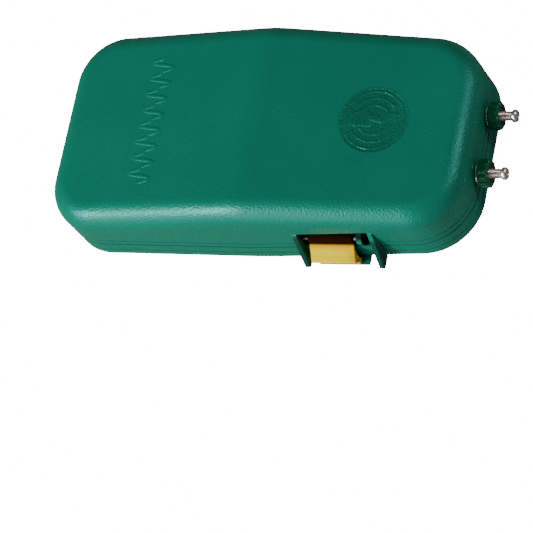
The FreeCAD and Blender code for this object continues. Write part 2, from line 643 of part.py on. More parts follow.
# ---- circuit board ----------------------------------------------------------------------------
def circuit_board():
    board = box(BOARD_X, BOARD_Y, BOARD_Z)
    holes = [rod_z(SCREW_RADIUS + 0.2, x, y, (20, 40)) for x, y in BOARD_POSTS]
    return rounded(board, 3, is_vertical).cut(holes)


def pulse_core():
    """Stacked laminations with two windows, around the middle leg."""
    x, y = PULSE_CENTRE
    stack = box((x - 18, x + 18), (y - 15, y + 15), (10.2, 21.8))
    windows = [box((x + low, x + low + 6), (y - 9, y + 9), (0, 40)) for low in (-12, 6)]
    return stack.cut(windows)


def pulse_bobbin():
    x, y = PULSE_CENTRE
    sleeve = box((x - 6.8, x + 6.8), (y - 8.9, y + 8.9), (9.3, 22.7))
    flanges = [box((x - 11.8, x + 11.8), (low, low + 1), (5.2, 27)) for low in (y - 8.9, y + 7.9)]
    feet = []
    for dx in (-9, -3, 3, 9):
        for dy in (-8.4, 8.4):
            feet.append(rod_z(0.45, x + dx, y + dy, (26.5, BOARD_Z[0])))
    whole = sleeve.multiFuse(flanges + feet).removeSplitter()
    return whole.cut(box((x - 6.05, x + 6.05), (y - 20, y + 20), (10.1, 21.9)))


def wound_block(x, y, z):
    """A winding with rounded corners, its axis along Y."""
    block = box(x, y, z)
    edges = [e for e in block.Edges if abs(e.BoundBox.YLength - (y[1] - y[0])) < 1e-6]
    return block.makeFillet(2.5, edges)


def pulse_windings():
    x, y = PULSE_CENTRE
    block = wound_block((x - 11.4, x + 11.4), (y - 7.85, y + 7.85), (5.8, 26.4))
    return block.cut(box((x - 6.85, x + 6.85), (y - 20, y + 20), (9.25, 22.75)))


def storage_capacitor():
    x, y, z = (50.0, 88.0), 28.0, 16.5
    can = rod_x(10.8, x, y, z)
    can = rounded(can, 1.5, lambda e: len(e.Vertexes) == 1)
    left = bent_tube([(x[0] + 1, y, z), (x[0] - 2.5, y, z), (x[0] - 2.5, y, BOARD_Z[0])], 0.5)
    right = bent_tube([(x[1] - 1, y, z), (x[1] + 2.5, y, z), (x[1] + 2.5, y, BOARD_Z[0])], 0.5)
    return can.multiFuse([left, right])


def inverter_core():
    x, y, top = 93.0, -18.0, BOARD_Z[0] - 1.0
    block = box((x - 7, x + 7), (y - 4, y + 4), (top - 15, top))
    windows = [box((x + low, x + low + 3), (y - 9, y + 9), (top - 12, top - 3)) for low in (-5, 2)]
    return block.cut(windows)


def inverter_winding():
    """A coil on the small core's middle leg, on a square former with pins to the board."""
    x, y, top = 93.0, -18.0, BOARD_Z[0] - 1.0
    z = (top - 11.6, top - 3.4)
    coil_form = box((x - 4.8, x + 4.8), (y - 6.8, y + 6.8), z)
    coil_form = rounded(coil_form, 1.6, is_vertical)
    coil_form = coil_form.cut(box((x - 2.05, x + 2.05), (y - 4.05, y + 4.05), (0, 40)))
    pins = []
    for dx in (-3.5, 3.5):
        for dy in (-5.6, 5.6):
            pins.append(rod_z(0.4, x + dx, y + dy, (z[1] - 0.5, BOARD_Z[0])))
    return coil_form.multiFuse(pins)


def electrolytic(x, y, radius, height):
    can = rod_z(radius, x, y, (BOARD_Z[0] - height, BOARD_Z[0]))
    can = rounded(can, 0.6, lambda e: e.BoundBox.ZMax < BOARD_Z[0] - height + 1e-3)
    waist_z = BOARD_Z[0] - 2.6
    waist = rod_z(radius + 1, x, y, (waist_z, waist_z + 0.8))
    return can.cut(waist.cut(rod_z(radius - 0.4, x, y, (0, 40))))


def electrolytic_capacitors():
    cans = [electrolytic(56, 6, 6.4, 19), electrolytic(67.2, 12.2, 4, 12), electrolytic(85.6, 13.4, 3.1, 9)]
    return Part.makeCompound(cans)


def thyristor():
    body = box((88.6, 92.9), (0.0, 10.0), (14.0, 23.0))
    tab = box((91.6, 92.9), (0.0, 10.0), (8.6, 14.1)).cut(rod_x(1.8, (80, 100), 5.0, 11.4))
    legs = [box((90.3, 90.9), (y - 0.4, y + 0.4), (22.8, BOARD_Z[0])) for y in (2.5, 5.0, 7.5)]
    return body.multiFuse([tab] + legs).removeSplitter()


def heat_sink():
    base = box((92.95, 94.4), (-3.0, 13.0), (8.6, BOARD_Z[0]))
    fins = [box((94.0, 100.0), (-3.0 + i * 2.95, -1.8 + i * 2.95), (9.6, 26.4)) for i in range(6)]
    return base.multiFuse(fins).removeSplitter()


def control_chip():
    body = box((73.0, 82.6), (4.4, 10.8), (24.2, 27.4))
    legs = []
    for i in range(4):
        x = 74.0 + i * 2.54
        for y in ((3.6, 4.6), (10.6, 11.6)):
            legs.append(box((x - 0.3, x + 0.3), y, (25.4, BOARD_Z[0])))
    return body.multiFuse(legs).removeSplitter()


def axial(x, y, half_body, radius):
    """A part with a lead at each end, bent up into the board."""
    z, reach = BOARD_Z[0] - 1.8, half_body + 1.8
    lead = [(x - reach, y, BOARD_Z[0]), (x - reach, y, z), (x + reach, y, z), (x + reach, y, BOARD_Z[0])]
    return bent_tube(lead, 0.35).fuse(rod_x(radius, (x - half_body, x + half_body), y, z))


def resistors():
    return Part.makeCompound([axial(72.0, -6.9 + i * 2.9, 3.2, 1.15) for i in range(4)])


def diodes():
    return Part.makeCompound([axial(82.0, -6.4 + i * 3.3, 2.4, 1.3) for i in range(3)])


def switch_body():
    case = box(SWITCH_X, SWITCH_Y, SWITCH_Z)
    slot = box((93.6, 96.8), (SWITCH_Y[0] + 1.8, SWITCH_Y[1] - 1.8), (0, SWITCH_Z[0] + 2.8))
    return case.cut(slot)


def switch_slider():
    y = (SWITCH_Y[0] + 2.0, SWITCH_Y[0] + 2.0 + 12.0 - 4.0 - SLIDER_TRAVEL)
    stem = box((93.8, 96.6), y, (SWITCH_Z[0] - 3.0, SWITCH_Z[0] + 2.6))
    ridges = [box((93.0, 97.4), (y[0] + i * 1.5, y[0] + i * 1.5 + 0.7), (18.7, 20.3)) for i in range(3)]
    return stem.multiFuse(ridges).removeSplitter()


# ---- write every piece ------------------------------------------------------------------------
def main():
    pieces = {
        "back_case": back_case(), "gasket": gasket(), "hinge_pins": hinge_pins(),
        "front_case": front_case(), "latch_pin": latch_pin(), "latch": latch(),
        "terminal_studs": terminal_studs(), "stud_nuts": stud_nuts(), "ring_lugs": ring_lugs(),
        "output_wires": output_wires(),
        "fence_washer": washer(-TERMINAL_Y), "fence_knob": knob(-TERMINAL_Y),
        "earth_washer": washer(TERMINAL_Y), "earth_knob": knob(TERMINAL_Y),
        "cells": cells(), "cell_holder": cell_holder(),
        "cell_contacts": Part.makeCompound(cell_contacts()), "cell_springs": cell_springs(),
        "battery_wires": battery_wires(), "holder_screws": screws(HOLDER_TABS, HOLDER_TAB_Z[0]),
        "circuit_board": circuit_board(), "board_screws": screws(BOARD_POSTS, BOARD_Z[0]),
        "pulse_core": pulse_core(), "pulse_bobbin": pulse_bobbin(),
        "pulse_windings": pulse_windings(), "storage_capacitor": storage_capacitor(),
        "inverter_core": inverter_core(), "inverter_winding": inverter_winding(),
        "electrolytic_capacitors": electrolytic_capacitors(), "thyristor": thyristor(),
        "heat_sink": heat_sink(), "control_chip": control_chip(), "resistors": resistors(),
        "diodes": diodes(), "switch_body": switch_body(), "switch_slider": switch_slider(),
    }
    for name, shape in pieces.items():
        save(name, shape)


main()
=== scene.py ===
# %% [markdown]
# # A battery fence energizer
#
# The object is a shoebox-sized plastic case that hangs on a wall beside a livestock fence. Two
# green shells close on each other along a thin seam: a deep front with a ridge across its middle,
# and a shallow back. A yellow lever between two gusset ears holds them shut, and two metal studs
# with fluted knobs at one end take the fence and earth leads. Inside are four dry cells and the
# circuit that turns their few volts into a high-voltage pulse each second.
#
# The solid frame is loaded first. It says where every part is, so each visual piece below reads
# its place from it instead of being fitted by eye.

# %% Load the solid frame
import math

import bmesh
import bpy
import numpy as np
from mathutils import Matrix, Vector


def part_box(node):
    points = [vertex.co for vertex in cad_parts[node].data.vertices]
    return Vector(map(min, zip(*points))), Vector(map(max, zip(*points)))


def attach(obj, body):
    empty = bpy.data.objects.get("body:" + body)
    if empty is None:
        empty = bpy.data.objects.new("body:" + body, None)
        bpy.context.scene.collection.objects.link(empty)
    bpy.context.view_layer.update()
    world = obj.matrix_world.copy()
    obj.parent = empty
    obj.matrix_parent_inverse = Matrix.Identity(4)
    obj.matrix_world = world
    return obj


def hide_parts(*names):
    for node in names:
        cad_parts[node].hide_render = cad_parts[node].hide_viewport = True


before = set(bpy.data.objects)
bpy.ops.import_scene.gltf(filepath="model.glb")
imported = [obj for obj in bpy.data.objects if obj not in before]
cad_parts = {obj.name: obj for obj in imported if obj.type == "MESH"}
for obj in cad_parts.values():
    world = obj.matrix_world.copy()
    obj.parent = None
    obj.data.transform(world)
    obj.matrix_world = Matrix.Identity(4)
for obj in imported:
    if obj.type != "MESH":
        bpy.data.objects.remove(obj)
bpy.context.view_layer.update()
MM = 0.001

# %% [markdown]
# ## The camera
#
# A small object looks right through a long lens from well back: its far edges stay almost as
# large as its near ones. The camera is placed by two angles round the object, a distance and a
# roll, which is easier to adjust than three coordinates. The frame is aimed a little below the
# object, so that the object sits in the upper half of the picture, as in a catalogue cut-out.

# %% Camera
VIEW_AZIMUTH, VIEW_ELEVATION, VIEW_ROLL = (math.radians(a) for a in (46.33, 54.43, 40.38))
VIEW_DISTANCE, LENS_MM, SENSOR_MM = 1.781, 234.7, 36.0
PIVOT = np.array([0.0, 0.0, 0.0261])
AIM_RIGHT, AIM_UP = -0.00054, -0.03721     # tangents of the aim away from the pivot

back = np.array([
    math.sin(VIEW_AZIMUTH) * math.cos(VIEW_ELEVATION),
    -math.cos(VIEW_AZIMUTH) * math.cos(VIEW_ELEVATION),
    math.sin(VIEW_ELEVATION),
])
level = np.array([math.cos(VIEW_AZIMUTH), math.sin(VIEW_AZIMUTH), 0.0])
above = np.cross(back, level)
picture_right = math.cos(VIEW_ROLL) * level - math.sin(VIEW_ROLL) * above
picture_up = math.sin(VIEW_ROLL) * level + math.cos(VIEW_ROLL) * above
outward = back - AIM_RIGHT * picture_right - AIM_UP * picture_up
outward /= np.linalg.norm(outward)
side = np.cross(picture_up, outward)
side /= np.linalg.norm(side)
upward = np.cross(outward, side)

camera_data = bpy.data.cameras.new("studio_camera")
camera_data.lens, camera_data.sensor_width = LENS_MM, SENSOR_MM
camera_data.clip_start, camera_data.clip_end = 0.05, 20.0
camera = bpy.data.objects.new("studio_camera", camera_data)
placed = np.eye(4)
placed[:3, 0], placed[:3, 1], placed[:3, 2] = side, upward, outward
placed[:3, 3] = PIVOT + VIEW_DISTANCE * back
camera.matrix_world = Matrix(placed.tolist())
bpy.context.scene.collection.objects.link(camera)
bpy.context.scene.camera = camera
print("camera at", np.round(placed[:3, 3], 3), "lens", LENS_MM, "mm")

# %% [markdown]
# ## Node helpers
#
# Materials are graphs of nodes. Two small helpers keep them readable: one adds a node with its
# settings and inputs in a single call, and one mixes two colours by a mask.


# %% Node helpers
def node(tree, kind, inputs=None, **settings):
    """Adds one node. An input given as a socket is linked, and any other value is set on it."""
    made = tree.nodes.new(kind)
    for key, value in settings.items():
        setattr(made, key, value)
    for key, value in (inputs or {}).items():
        socket = made.inputs[key]
        if isinstance(value, bpy.types.NodeSocket):
            tree.links.new(value, socket)
        else:
            socket.default_value = value
    return made


def mixed(tree, mask, first, second):
    """The colour that goes from first, where mask is 0, to second, where it is 1."""
    made = node(tree, "ShaderNodeMix", {0: mask, 6: first, 7: second}, data_type="RGBA")
    return made.outputs[2]


def stretched(tree, value, low, high, to_low=0.0, to_high=1.0):
    """A value carried from low..high to to_low..to_high and held inside it."""
    made = node(tree, "ShaderNodeMapRange", {
        "Value": value, "From Min": low, "From Max": high, "To Min": to_low, "To Max": to_high,
    })
    return made.outputs["Result"]


def shader_group(name, inputs, outputs):
    """An empty node group with typed inputs, each with its start value, and typed outputs."""
    group = bpy.data.node_groups.new(name, "ShaderNodeTree")
    for label, kind, start in inputs:
        socket = group.interface.new_socket(label, in_out="INPUT", socket_type=kind)
        if start is not None:
            socket.default_value = start
    for label, kind in outputs:
        group.interface.new_socket(label, in_out="OUTPUT", socket_type=kind)
    return group, node(group, "NodeGroupInput"), node(group, "NodeGroupOutput")


def calc(tree, operation, *values, clamp=False):
    """The result of one arithmetic node."""
    return node(tree, "ShaderNodeMath", dict(enumerate(values)), operation=operation,
                use_clamp=clamp).outputs[0]


def opened(material):
    """Tree, shader and object coordinates of a material, which gets nodes if it has none."""
    material.use_nodes = True
    tree = material.node_tree
    place = node(tree, "ShaderNodeTexCoord").outputs["Object"]
    return tree, tree.nodes["Principled BSDF"], place


def grey(value):
    return (value, value, value, 1.0)


# %% [markdown]
# ## Shared surface effects
#
# Real surfaces of one object share the same history. Three effects are built once as groups:
#
# * **Moulded grain**: the steel mould is etched, so the plastic comes out finely pebbled. Rounded
#   cells of two sizes make the pebbles, and a fine noise breaks up their edges.
# * **Handling wear**: fingers polish some places and scuff others. A slow noise drives the colour
#   and the gloss a little, and long thin noise adds faint rubs.
# * **Settled dust**: a pale film that collects on faces that look up, in soft patches.


# %% Moulded grain
def build_grain_group():
    group, start, end = shader_group(
        "Moulded grain",
        [("Vector", "NodeSocketVector", None), ("Pebbles per metre", "NodeSocketFloat", 900.0),
         ("Depth", "NodeSocketFloat", 0.00008), ("Strength", "NodeSocketFloat", 0.6)],
        [("Normal", "NodeSocketVector"), ("Height", "NodeSocketFloat")],
    )
    place, density = start.outputs["Vector"], start.outputs["Pebbles per metre"]
    drift = node(group, "ShaderNodeTexNoise", {"Vector": place, "Scale": 700.0, "Detail": 2.0})
    bent = node(group, "ShaderNodeVectorMath", {0: drift.outputs["Color"], 1: (0.0006,) * 3},
                operation="MULTIPLY")
    wander = node(group, "ShaderNodeVectorMath", {0: place, 1: bent.outputs[0]}, operation="ADD")
    pebbles = node(group, "ShaderNodeTexVoronoi", {
        "Vector": wander.outputs[0], "Scale": density, "Smoothness": 0.7, "Randomness": 1.0,
    }, feature="SMOOTH_F1")
    double = calc(group, "MULTIPLY", density, 2.3)
    crumbs = node(group, "ShaderNodeTexNoise", {
        "Vector": place, "Scale": double, "Detail": 3.0, "Roughness": 0.6,
    })
    domes = stretched(group, pebbles.outputs["Distance"], 0.15, 0.75, 1.0, 0.0)
    total = calc(group, "MULTIPLY_ADD", crumbs.outputs["Fac"], 0.45, domes)
    bump = node(group, "ShaderNodeBump", {
        "Strength": start.outputs["Strength"], "Distance": start.outputs["Depth"],
        "Height": total,
    })
    group.links.new(bump.outputs["Normal"], end.inputs["Normal"])
    group.links.new(total, end.inputs["Height"])
    return group


# %% Handling wear
def build_wear_group():
    group, start, end = shader_group(
        "Handling wear",
        [("Vector", "NodeSocketVector", None), ("Colour", "NodeSocketColor", grey(0.5)),
         ("Rubbed colour", "NodeSocketColor", grey(0.6)), ("Amount", "NodeSocketFloat", 0.3),
         ("Roughness", "NodeSocketFloat", 0.5), ("Roughness swing", "NodeSocketFloat", 0.08)],
        [("Colour", "NodeSocketColor"), ("Roughness", "NodeSocketFloat")],
    )
    place = start.outputs["Vector"]
    clouds = node(group, "ShaderNodeTexNoise", {"Vector": place, "Scale": 22.0, "Detail": 5.0})
    long_way = node(group, "ShaderNodeMapping", {"Vector": place, "Scale": (40.0, 900.0, 260.0)})
    rubs = node(group, "ShaderNodeTexNoise", {
        "Vector": long_way.outputs[0], "Scale": 1.0, "Detail": 4.0, "Roughness": 0.7,
    })
    cloud_mask = stretched(group, clouds.outputs["Fac"], 0.42, 0.68)
    rub_mask = stretched(group, rubs.outputs["Fac"], 0.6, 0.78)
    both = calc(group, "MULTIPLY_ADD", rub_mask, 0.5, cloud_mask, clamp=True)
    share = calc(group, "MULTIPLY", both, start.outputs["Amount"], clamp=True)
    colour = mixed(group, share, start.outputs["Colour"], start.outputs["Rubbed colour"])
    centred = calc(group, "SUBTRACT", both, 0.4)
    swing = calc(group, "MULTIPLY_ADD", centred, start.outputs["Roughness swing"],
                 start.outputs["Roughness"], clamp=True)
    group.links.new(colour, end.inputs["Colour"])
    group.links.new(swing, end.inputs["Roughness"])
    return group


# %% Settled dust
def build_dust_group():
    group, start, end = shader_group(
        "Settled dust",
        [("Vector", "NodeSocketVector", None), ("Colour", "NodeSocketColor", grey(0.5)),
         ("Dust colour", "NodeSocketColor", (0.55, 0.56, 0.5, 1.0)),
         ("Amount", "NodeSocketFloat", 0.1)],
        [("Colour", "NodeSocketColor"), ("Mask", "NodeSocketFloat")],
    )
    facing = node(group, "ShaderNodeNewGeometry")
    parts = node(group, "ShaderNodeSeparateXYZ", {0: facing.outputs["Normal"]})
    upper = stretched(group, parts.outputs["Z"], 0.2, 1.0)
    patches = node(group, "ShaderNodeTexNoise", {
        "Vector": start.outputs["Vector"], "Scale": 60.0, "Detail": 7.0, "Roughness": 0.65,
    })
    film = stretched(group, patches.outputs["Fac"], 0.4, 0.75)
    amount = calc(group, "MULTIPLY", film, start.outputs["Amount"])
    mask = calc(group, "MULTIPLY", amount, upper, clamp=True)
    colour = mixed(group, mask, start.outputs["Colour"], start.outputs["Dust colour"])
    group.links.new(colour, end.inputs["Colour"])
    group.links.new(mask, end.inputs["Mask"])
    return group


GRAIN, WEAR, DUST = build_grain_group(), build_wear_group(), build_dust_group()
print("effects:", ", ".join(g.name for g in (GRAIN, WEAR, DUST)))

# %% [markdown]
# ## Moulded plastics
#
# Most of the object is injection-moulded plastic, and the finishes differ only in colour, gloss
# and grain. One function builds them all. The shader itself stays in each material, and the
# constants are set on its own sockets, so that nothing is lost when the model is exported.


# %% Plastic builder
def plastic(name, colour, rubbed, roughness=0.45, pebbles=900.0, depth=0.00008, strength=0.6,
            wear=0.3, swing=0.08, dust=0.0, specular=0.5, subsurface=0.0, tint=(1.0, 1.0, 1.0)):
    """A moulded plastic: pebbled normal, rubbed colour and gloss, and a film of dust."""
    made = bpy.data.materials.new(name)
    tree, shader, place = opened(made)
    grain = node(tree, "ShaderNodeGroup", node_tree=GRAIN)
    worn = node(tree, "ShaderNodeGroup", node_tree=WEAR)
    dusty = node(tree, "ShaderNodeGroup", node_tree=DUST)
    for effect in (grain, worn, dusty):
        tree.links.new(place, effect.inputs["Vector"])
    grain.inputs["Pebbles per metre"].default_value = pebbles
    grain.inputs["Depth"].default_value = depth
    grain.inputs["Strength"].default_value = strength
    worn.inputs["Colour"].default_value = (*colour, 1.0)
    worn.inputs["Rubbed colour"].default_value = (*rubbed, 1.0)
    worn.inputs["Amount"].default_value = wear
    worn.inputs["Roughness"].default_value = roughness
    worn.inputs["Roughness swing"].default_value = swing
    dusty.inputs["Amount"].default_value = dust
    tree.links.new(worn.outputs["Colour"], dusty.inputs["Colour"])
    tree.links.new(dusty.outputs["Colour"], shader.inputs["Base Color"])
    tree.links.new(worn.outputs["Roughness"], shader.inputs["Roughness"])
    tree.links.new(grain.outputs["Normal"], shader.inputs["Normal"])
    shader.inputs["Specular IOR Level"].default_value = specular
    shader.inputs["Specular Tint"].default_value = (*tint, 1.0)
    if subsurface:
        shader.inputs["Subsurface Weight"].default_value = subsurface
        shader.inputs["Subsurface Scale"].default_value = 0.002
    return made


CASE_GREEN = (0.0, 0.096, 0.058)
CASE_RUBBED = (0.0005, 0.108, 0.067)
CASE_FINISH = dict(roughness=0.41, pebbles=1050.0, depth=0.00017, strength=0.5, wear=0.35,
                   specular=0.5, tint=(0.2, 1.0, 0.93))
case_green = plastic("case_green", CASE_GREEN, CASE_RUBBED, **CASE_FINISH)

# %% Put the case finish on both shells
for shell in ("front_case", "back_case"):
    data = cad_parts[shell].data
    data.materials.clear()
    data.materials.append(case_green)

# %% [markdown]
# ## Shapes as arrays of points
#
# Every new piece is a surface worked out with numpy: a grid of points whose rows and columns are
# two parameters. Neighbouring points become four-sided faces, the columns close on themselves
# where the piece is round, and the first and last row are closed by one flat face each. Lengths
# are written in millimetres, as on a drawing, and turned to metres once, when the mesh is made.


# %% Shape helpers
class Shape:
    """Grids of points gathered into one mesh."""

    def __init__(self):
        self.points, self.faces, self.count = [], [], 0

    def grid(self, points, wrap_rows=False, wrap_columns=True, caps=True):
        """Adds one grid. Caps close its first and last row, unless the rows wrap round."""
        rows, columns = points.shape[:2]
        index = np.arange(rows * columns).reshape(rows, columns) + self.count
        ends = index[0].tolist(), index[-1][::-1].tolist()
        if wrap_columns:
            index = np.concatenate([index, index[:, :1]], 1)
        if wrap_rows:
            index = np.concatenate([index, index[:1]], 0)
        quads = np.stack([index[:-1, :-1], index[1:, :-1], index[1:, 1:], index[:-1, 1:]], -1)
        self.faces += quads.reshape(-1, 4).tolist()
        if caps and not wrap_rows:
            self.faces += ends
        self.points.append(points.reshape(-1, 3))
        self.count += rows * columns
        return self


def piece(name, shape, material, body, replaced=(), sharp_angle=38):
    """A finished object: points in metres, faces turned outwards, smooth but for real corners."""
    data = bpy.data.meshes.new(name)
    data.from_pydata((np.concatenate(shape.points) * MM).tolist(), [], shape.faces)
    work = bmesh.new()
    work.from_mesh(data)
    bmesh.ops.remove_doubles(work, verts=work.verts, dist=1e-6)
    bmesh.ops.recalc_face_normals(work, faces=work.faces)
    work.to_mesh(data)
    work.free()
    data.polygons.foreach_set("use_smooth", np.ones(len(data.polygons), bool))
    data.set_sharp_from_angle(angle=math.radians(sharp_angle))
    data.materials.append(material)
    made = bpy.data.objects.new(name, data)
    bpy.context.scene.collection.objects.link(made)
    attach(made, body)
    if replaced:
        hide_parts(*replaced)
    size = np.ptp(np.concatenate(shape.points), axis=0)
    print(f"{name}: {len(data.polygons)} faces, {size[0]:.1f} x {size[1]:.1f} x {size[2]:.1f} mm")
    return made


def place_of(node_name):
    """Lowest and highest corner of a CAD node in millimetres."""
    low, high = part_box(node_name)
    return np.array(low) / MM, np.array(high) / MM


def rounded_loop(corners, radii, steps=6):
    """A closed outline in which each corner is a short curve between points cut back along its
    two sides: the quadratic curve that starts and ends there and bends towards the corner."""
    corners = np.array(corners, float)
    back_way, on_way = np.roll(corners, 1, 0) - corners, np.roll(corners, -1, 0) - corners
    back_length = np.linalg.norm(back_way, axis=1, keepdims=True)
    on_length = np.linalg.norm(on_way, axis=1, keepdims=True)
    wanted = np.broadcast_to(np.array(radii, float), len(corners))[:, None]
    reach = np.minimum(wanted, 0.48 * np.minimum(back_length, on_length))
    first = (corners + back_way / back_length * reach)[:, None]
    last = (corners + on_way / on_length * reach)[:, None]
    t = np.linspace(0, 1, steps)[None, :, None]
    curve = (1 - t) ** 2 * first + 2 * t * (1 - t) * corners[:, None] + t ** 2 * last
    return curve.reshape(-1, 2)


def inward_of(outline):
    """Unit vectors that point into a closed outline, square to its local direction."""
    along = np.roll(outline, -1, 0) - np.roll(outline, 1, 0)
    along = along / np.maximum(np.linalg.norm(along, axis=1, keepdims=True), 1e-9)
    after = np.roll(outline, -1, 0)
    turn = np.sign(np.sum(outline[:, 0] * after[:, 1] - after[:, 0] * outline[:, 1]))
    return np.stack([-along[:, 1], along[:, 0]], 1) * turn


def bar(outline, low, high, edge, steps=5):
    """A (y, z) outline carried along x. At both ends it draws in by a quarter circle of radius
    edge, so the end faces have rounded borders. At outward corners tighter than edge the
    drawn-in outline crosses itself."""
    angle = np.linspace(0, math.pi / 2, steps)
    shift, shrink = edge * (1 - np.cos(angle)), edge * (1 - np.sin(angle))
    x = np.concatenate([low + shift, (high - shift)[::-1]])
    draw = np.concatenate([shrink, shrink[::-1]])
    flat = outline[None] + inward_of(outline)[None] * draw[:, None, None]
    return np.concatenate([np.broadcast_to(x[:, None, None], (*flat.shape[:2], 1)), flat], 2)


def turned(profile, centre, segments, ripple=None):
    """A profile of (x, radius) turned round a line along x through centre (y, z). With a ripple
    it is (x, radius, share), and each radius is lessened by its share of ripple(angle)."""
    angle = np.arange(segments) * 2 * math.pi / segments
    profile = np.array(profile, float)
    radius = np.repeat(profile[:, 1:2], segments, 1)
    if ripple is not None:
        radius = radius - profile[:, 2:3] * ripple(angle)[None]
    x = np.repeat(profile[:, :1], segments, 1)
    return np.stack([x, centre[0] + radius * np.cos(angle), centre[1] + radius * np.sin(angle)], -1)


def swept(path, section, up):
    """A closed section carried along a path. Its first number goes sideways, square to the path
    and to up, and its second goes along up as seen square to the path."""
    path = np.array(path, float)
    along = np.gradient(path, axis=0)
    along /= np.linalg.norm(along, axis=1, keepdims=True)
    sideways = np.cross(along, np.array(up, float))
    sideways /= np.linalg.norm(sideways, axis=1, keepdims=True)
    lift = np.cross(sideways, along)
    return (path[:, None] + section[None, :, :1] * sideways[:, None]
            + section[None, :, 1:] * lift[:, None])


def circle(radius, steps=12):
    angle = np.arange(steps) * 2 * math.pi / steps
    return np.stack([radius * np.cos(angle), radius * np.sin(angle)], 1)


# %% [markdown]
# ## The latch
#
# The lever is one moulding: a hub on a steel pin, a wedge that slopes outwards to its tip, finger
# grooves across the tip, and a hook behind it. Seen from the end it is a single closed outline,
# so it is drawn once as that outline and carried along the hinge line, with rounded borders.

# %% Latch finish
latch_yellow = plastic("latch_yellow", (0.56, 0.43, 0.0), (0.52, 0.36, 0.0), roughness=0.6,
                       pebbles=1500.0, depth=0.00005, strength=0.35, wear=0.5, specular=0.03,
                       tint=(1.0, 0.6, 0.0))

# %% Latch lever
HUB_RADIUS, GRIP_RIBS, RIB_HEIGHT = 2.6, 3, 0.22


def latch_outline(low, high):
    """The lever seen from its end, in (y, z): sloping face, round hub, back, hook and lip."""
    tip, foot = low[1], low[2]
    pin = np.array([high[1], high[2]]) - HUB_RADIUS
    hub_angle = np.radians(np.linspace(205, -80, 30))
    hub = pin + HUB_RADIUS * np.stack([np.cos(hub_angle), np.sin(hub_angle)], 1)
    share = np.linspace(0, 1, 70)[:, None]
    face = (tip + 0.2, foot + 6.95) + (hub[0] - (tip + 0.2, foot + 6.95)) * share
    square = np.array([-0.66, 0.75])
    zone = np.clip((share - 0.03) / 0.3, 0, 1)
    ribs = RIB_HEIGHT * np.sin(zone * GRIP_RIBS * math.pi) ** 2
    face = face + square * (ribs - 0.12 * np.sin(share * math.pi))
    rest = rounded_loop([
        (pin[0] - 0.8, pin[1] - 2.2), (pin[0] - 3.7, pin[1] - 4.1), (tip + 4.9, foot + 5.4),
        (tip + 4.9, foot + 2.3), (tip + 6.0, foot + 2.0), (tip + 6.0, foot + 0.6),
        (tip + 5.4, foot), (tip + 3.1, foot), (tip + 2.5, foot + 0.6), (tip + 2.5, foot + 4.2),
        (tip + 2.1, foot + 5.0), (tip + 0.3, foot + 5.8), (tip, foot + 6.3),
    ], 0.7, 5)
    return np.concatenate([face, hub[1:], rest])


latch_low, latch_high = place_of("latch")
lever = Shape().grid(bar(latch_outline(latch_low, latch_high), latch_low[0], latch_high[0], 0.4))
piece("latch_lever", lever, latch_yellow, "latch", ["latch"], 28)

# %% [markdown]
# ## Terminals
#
# Each output terminal is a steel stud with a moulded knob that clamps the lead under a washer.
# The knob is turned from a profile whose outer part is scalloped, so fingers can grip it. The
# stud carries a true screw thread: the radius falls and rises with the distance along the stud
# less one pitch for each turn. Its end is swaged into a rounded button that keeps the knob on.


# %% Metal builder
def metal(name, colour, tarnish, roughness=0.25, grain=600.0, depth=0.00001, across=(1, 1, 1),
          wear=0.4, metallic=1.0):
    """A metal: tarnish in soft patches, fine machining lines, and a gloss that wanders."""
    made = bpy.data.materials.new(name)
    tree, shader, place = opened(made)
    worn = node(tree, "ShaderNodeGroup", {
        "Vector": place, "Colour": (*colour, 1.0), "Rubbed colour": (*tarnish, 1.0),
        "Amount": wear, "Roughness": roughness, "Roughness swing": 0.16,
    }, node_tree=WEAR)
    turned_way = node(tree, "ShaderNodeMapping", {"Vector": place, "Scale": across})
    lines = node(tree, "ShaderNodeTexNoise", {
        "Vector": turned_way.outputs[0], "Scale": grain, "Detail": 4.0, "Roughness": 0.7,
    })
    bump = node(tree, "ShaderNodeBump", {
        "Height": lines.outputs["Fac"], "Distance": depth, "Strength": 0.7,
    })
    tree.links.new(worn.outputs["Colour"], shader.inputs["Base Color"])
    tree.links.new(worn.outputs["Roughness"], shader.inputs["Roughness"])
    tree.links.new(bump.outputs["Normal"], shader.inputs["Normal"])
    shader.inputs["Metallic"].default_value = metallic
    return made


stud_steel = metal("stud_steel", (0.90, 0.79, 0.76), (0.58, 0.44, 0.38), roughness=0.28,
                   across=(6.0, 1.0, 1.0), wear=0.45)
pin_steel = metal("pin_steel", (0.16, 0.155, 0.15), (0.08, 0.07, 0.06), roughness=0.45,
                  across=(0.2, 2.0, 2.0))
knob_green = plastic("knob_green", (0.0, 0.052, 0.022), (0.0, 0.075, 0.034), roughness=0.36,
                     pebbles=1500.0, depth=0.00004, strength=0.3, wear=0.5, specular=0.4,
                     tint=(0.3, 1.0, 0.6))

# %% Knobs
KNOB_FLUTES, FLUTE_DEPTH, KNOB_SEGMENTS, KNOB_BORE = 12, 0.95, 192, 2.6


def scallops(angle):
    """Shallow round flutes with narrow lands between them."""
    return FLUTE_DEPTH * (0.5 + 0.5 * np.cos(KNOB_FLUTES * angle)) ** 1.3


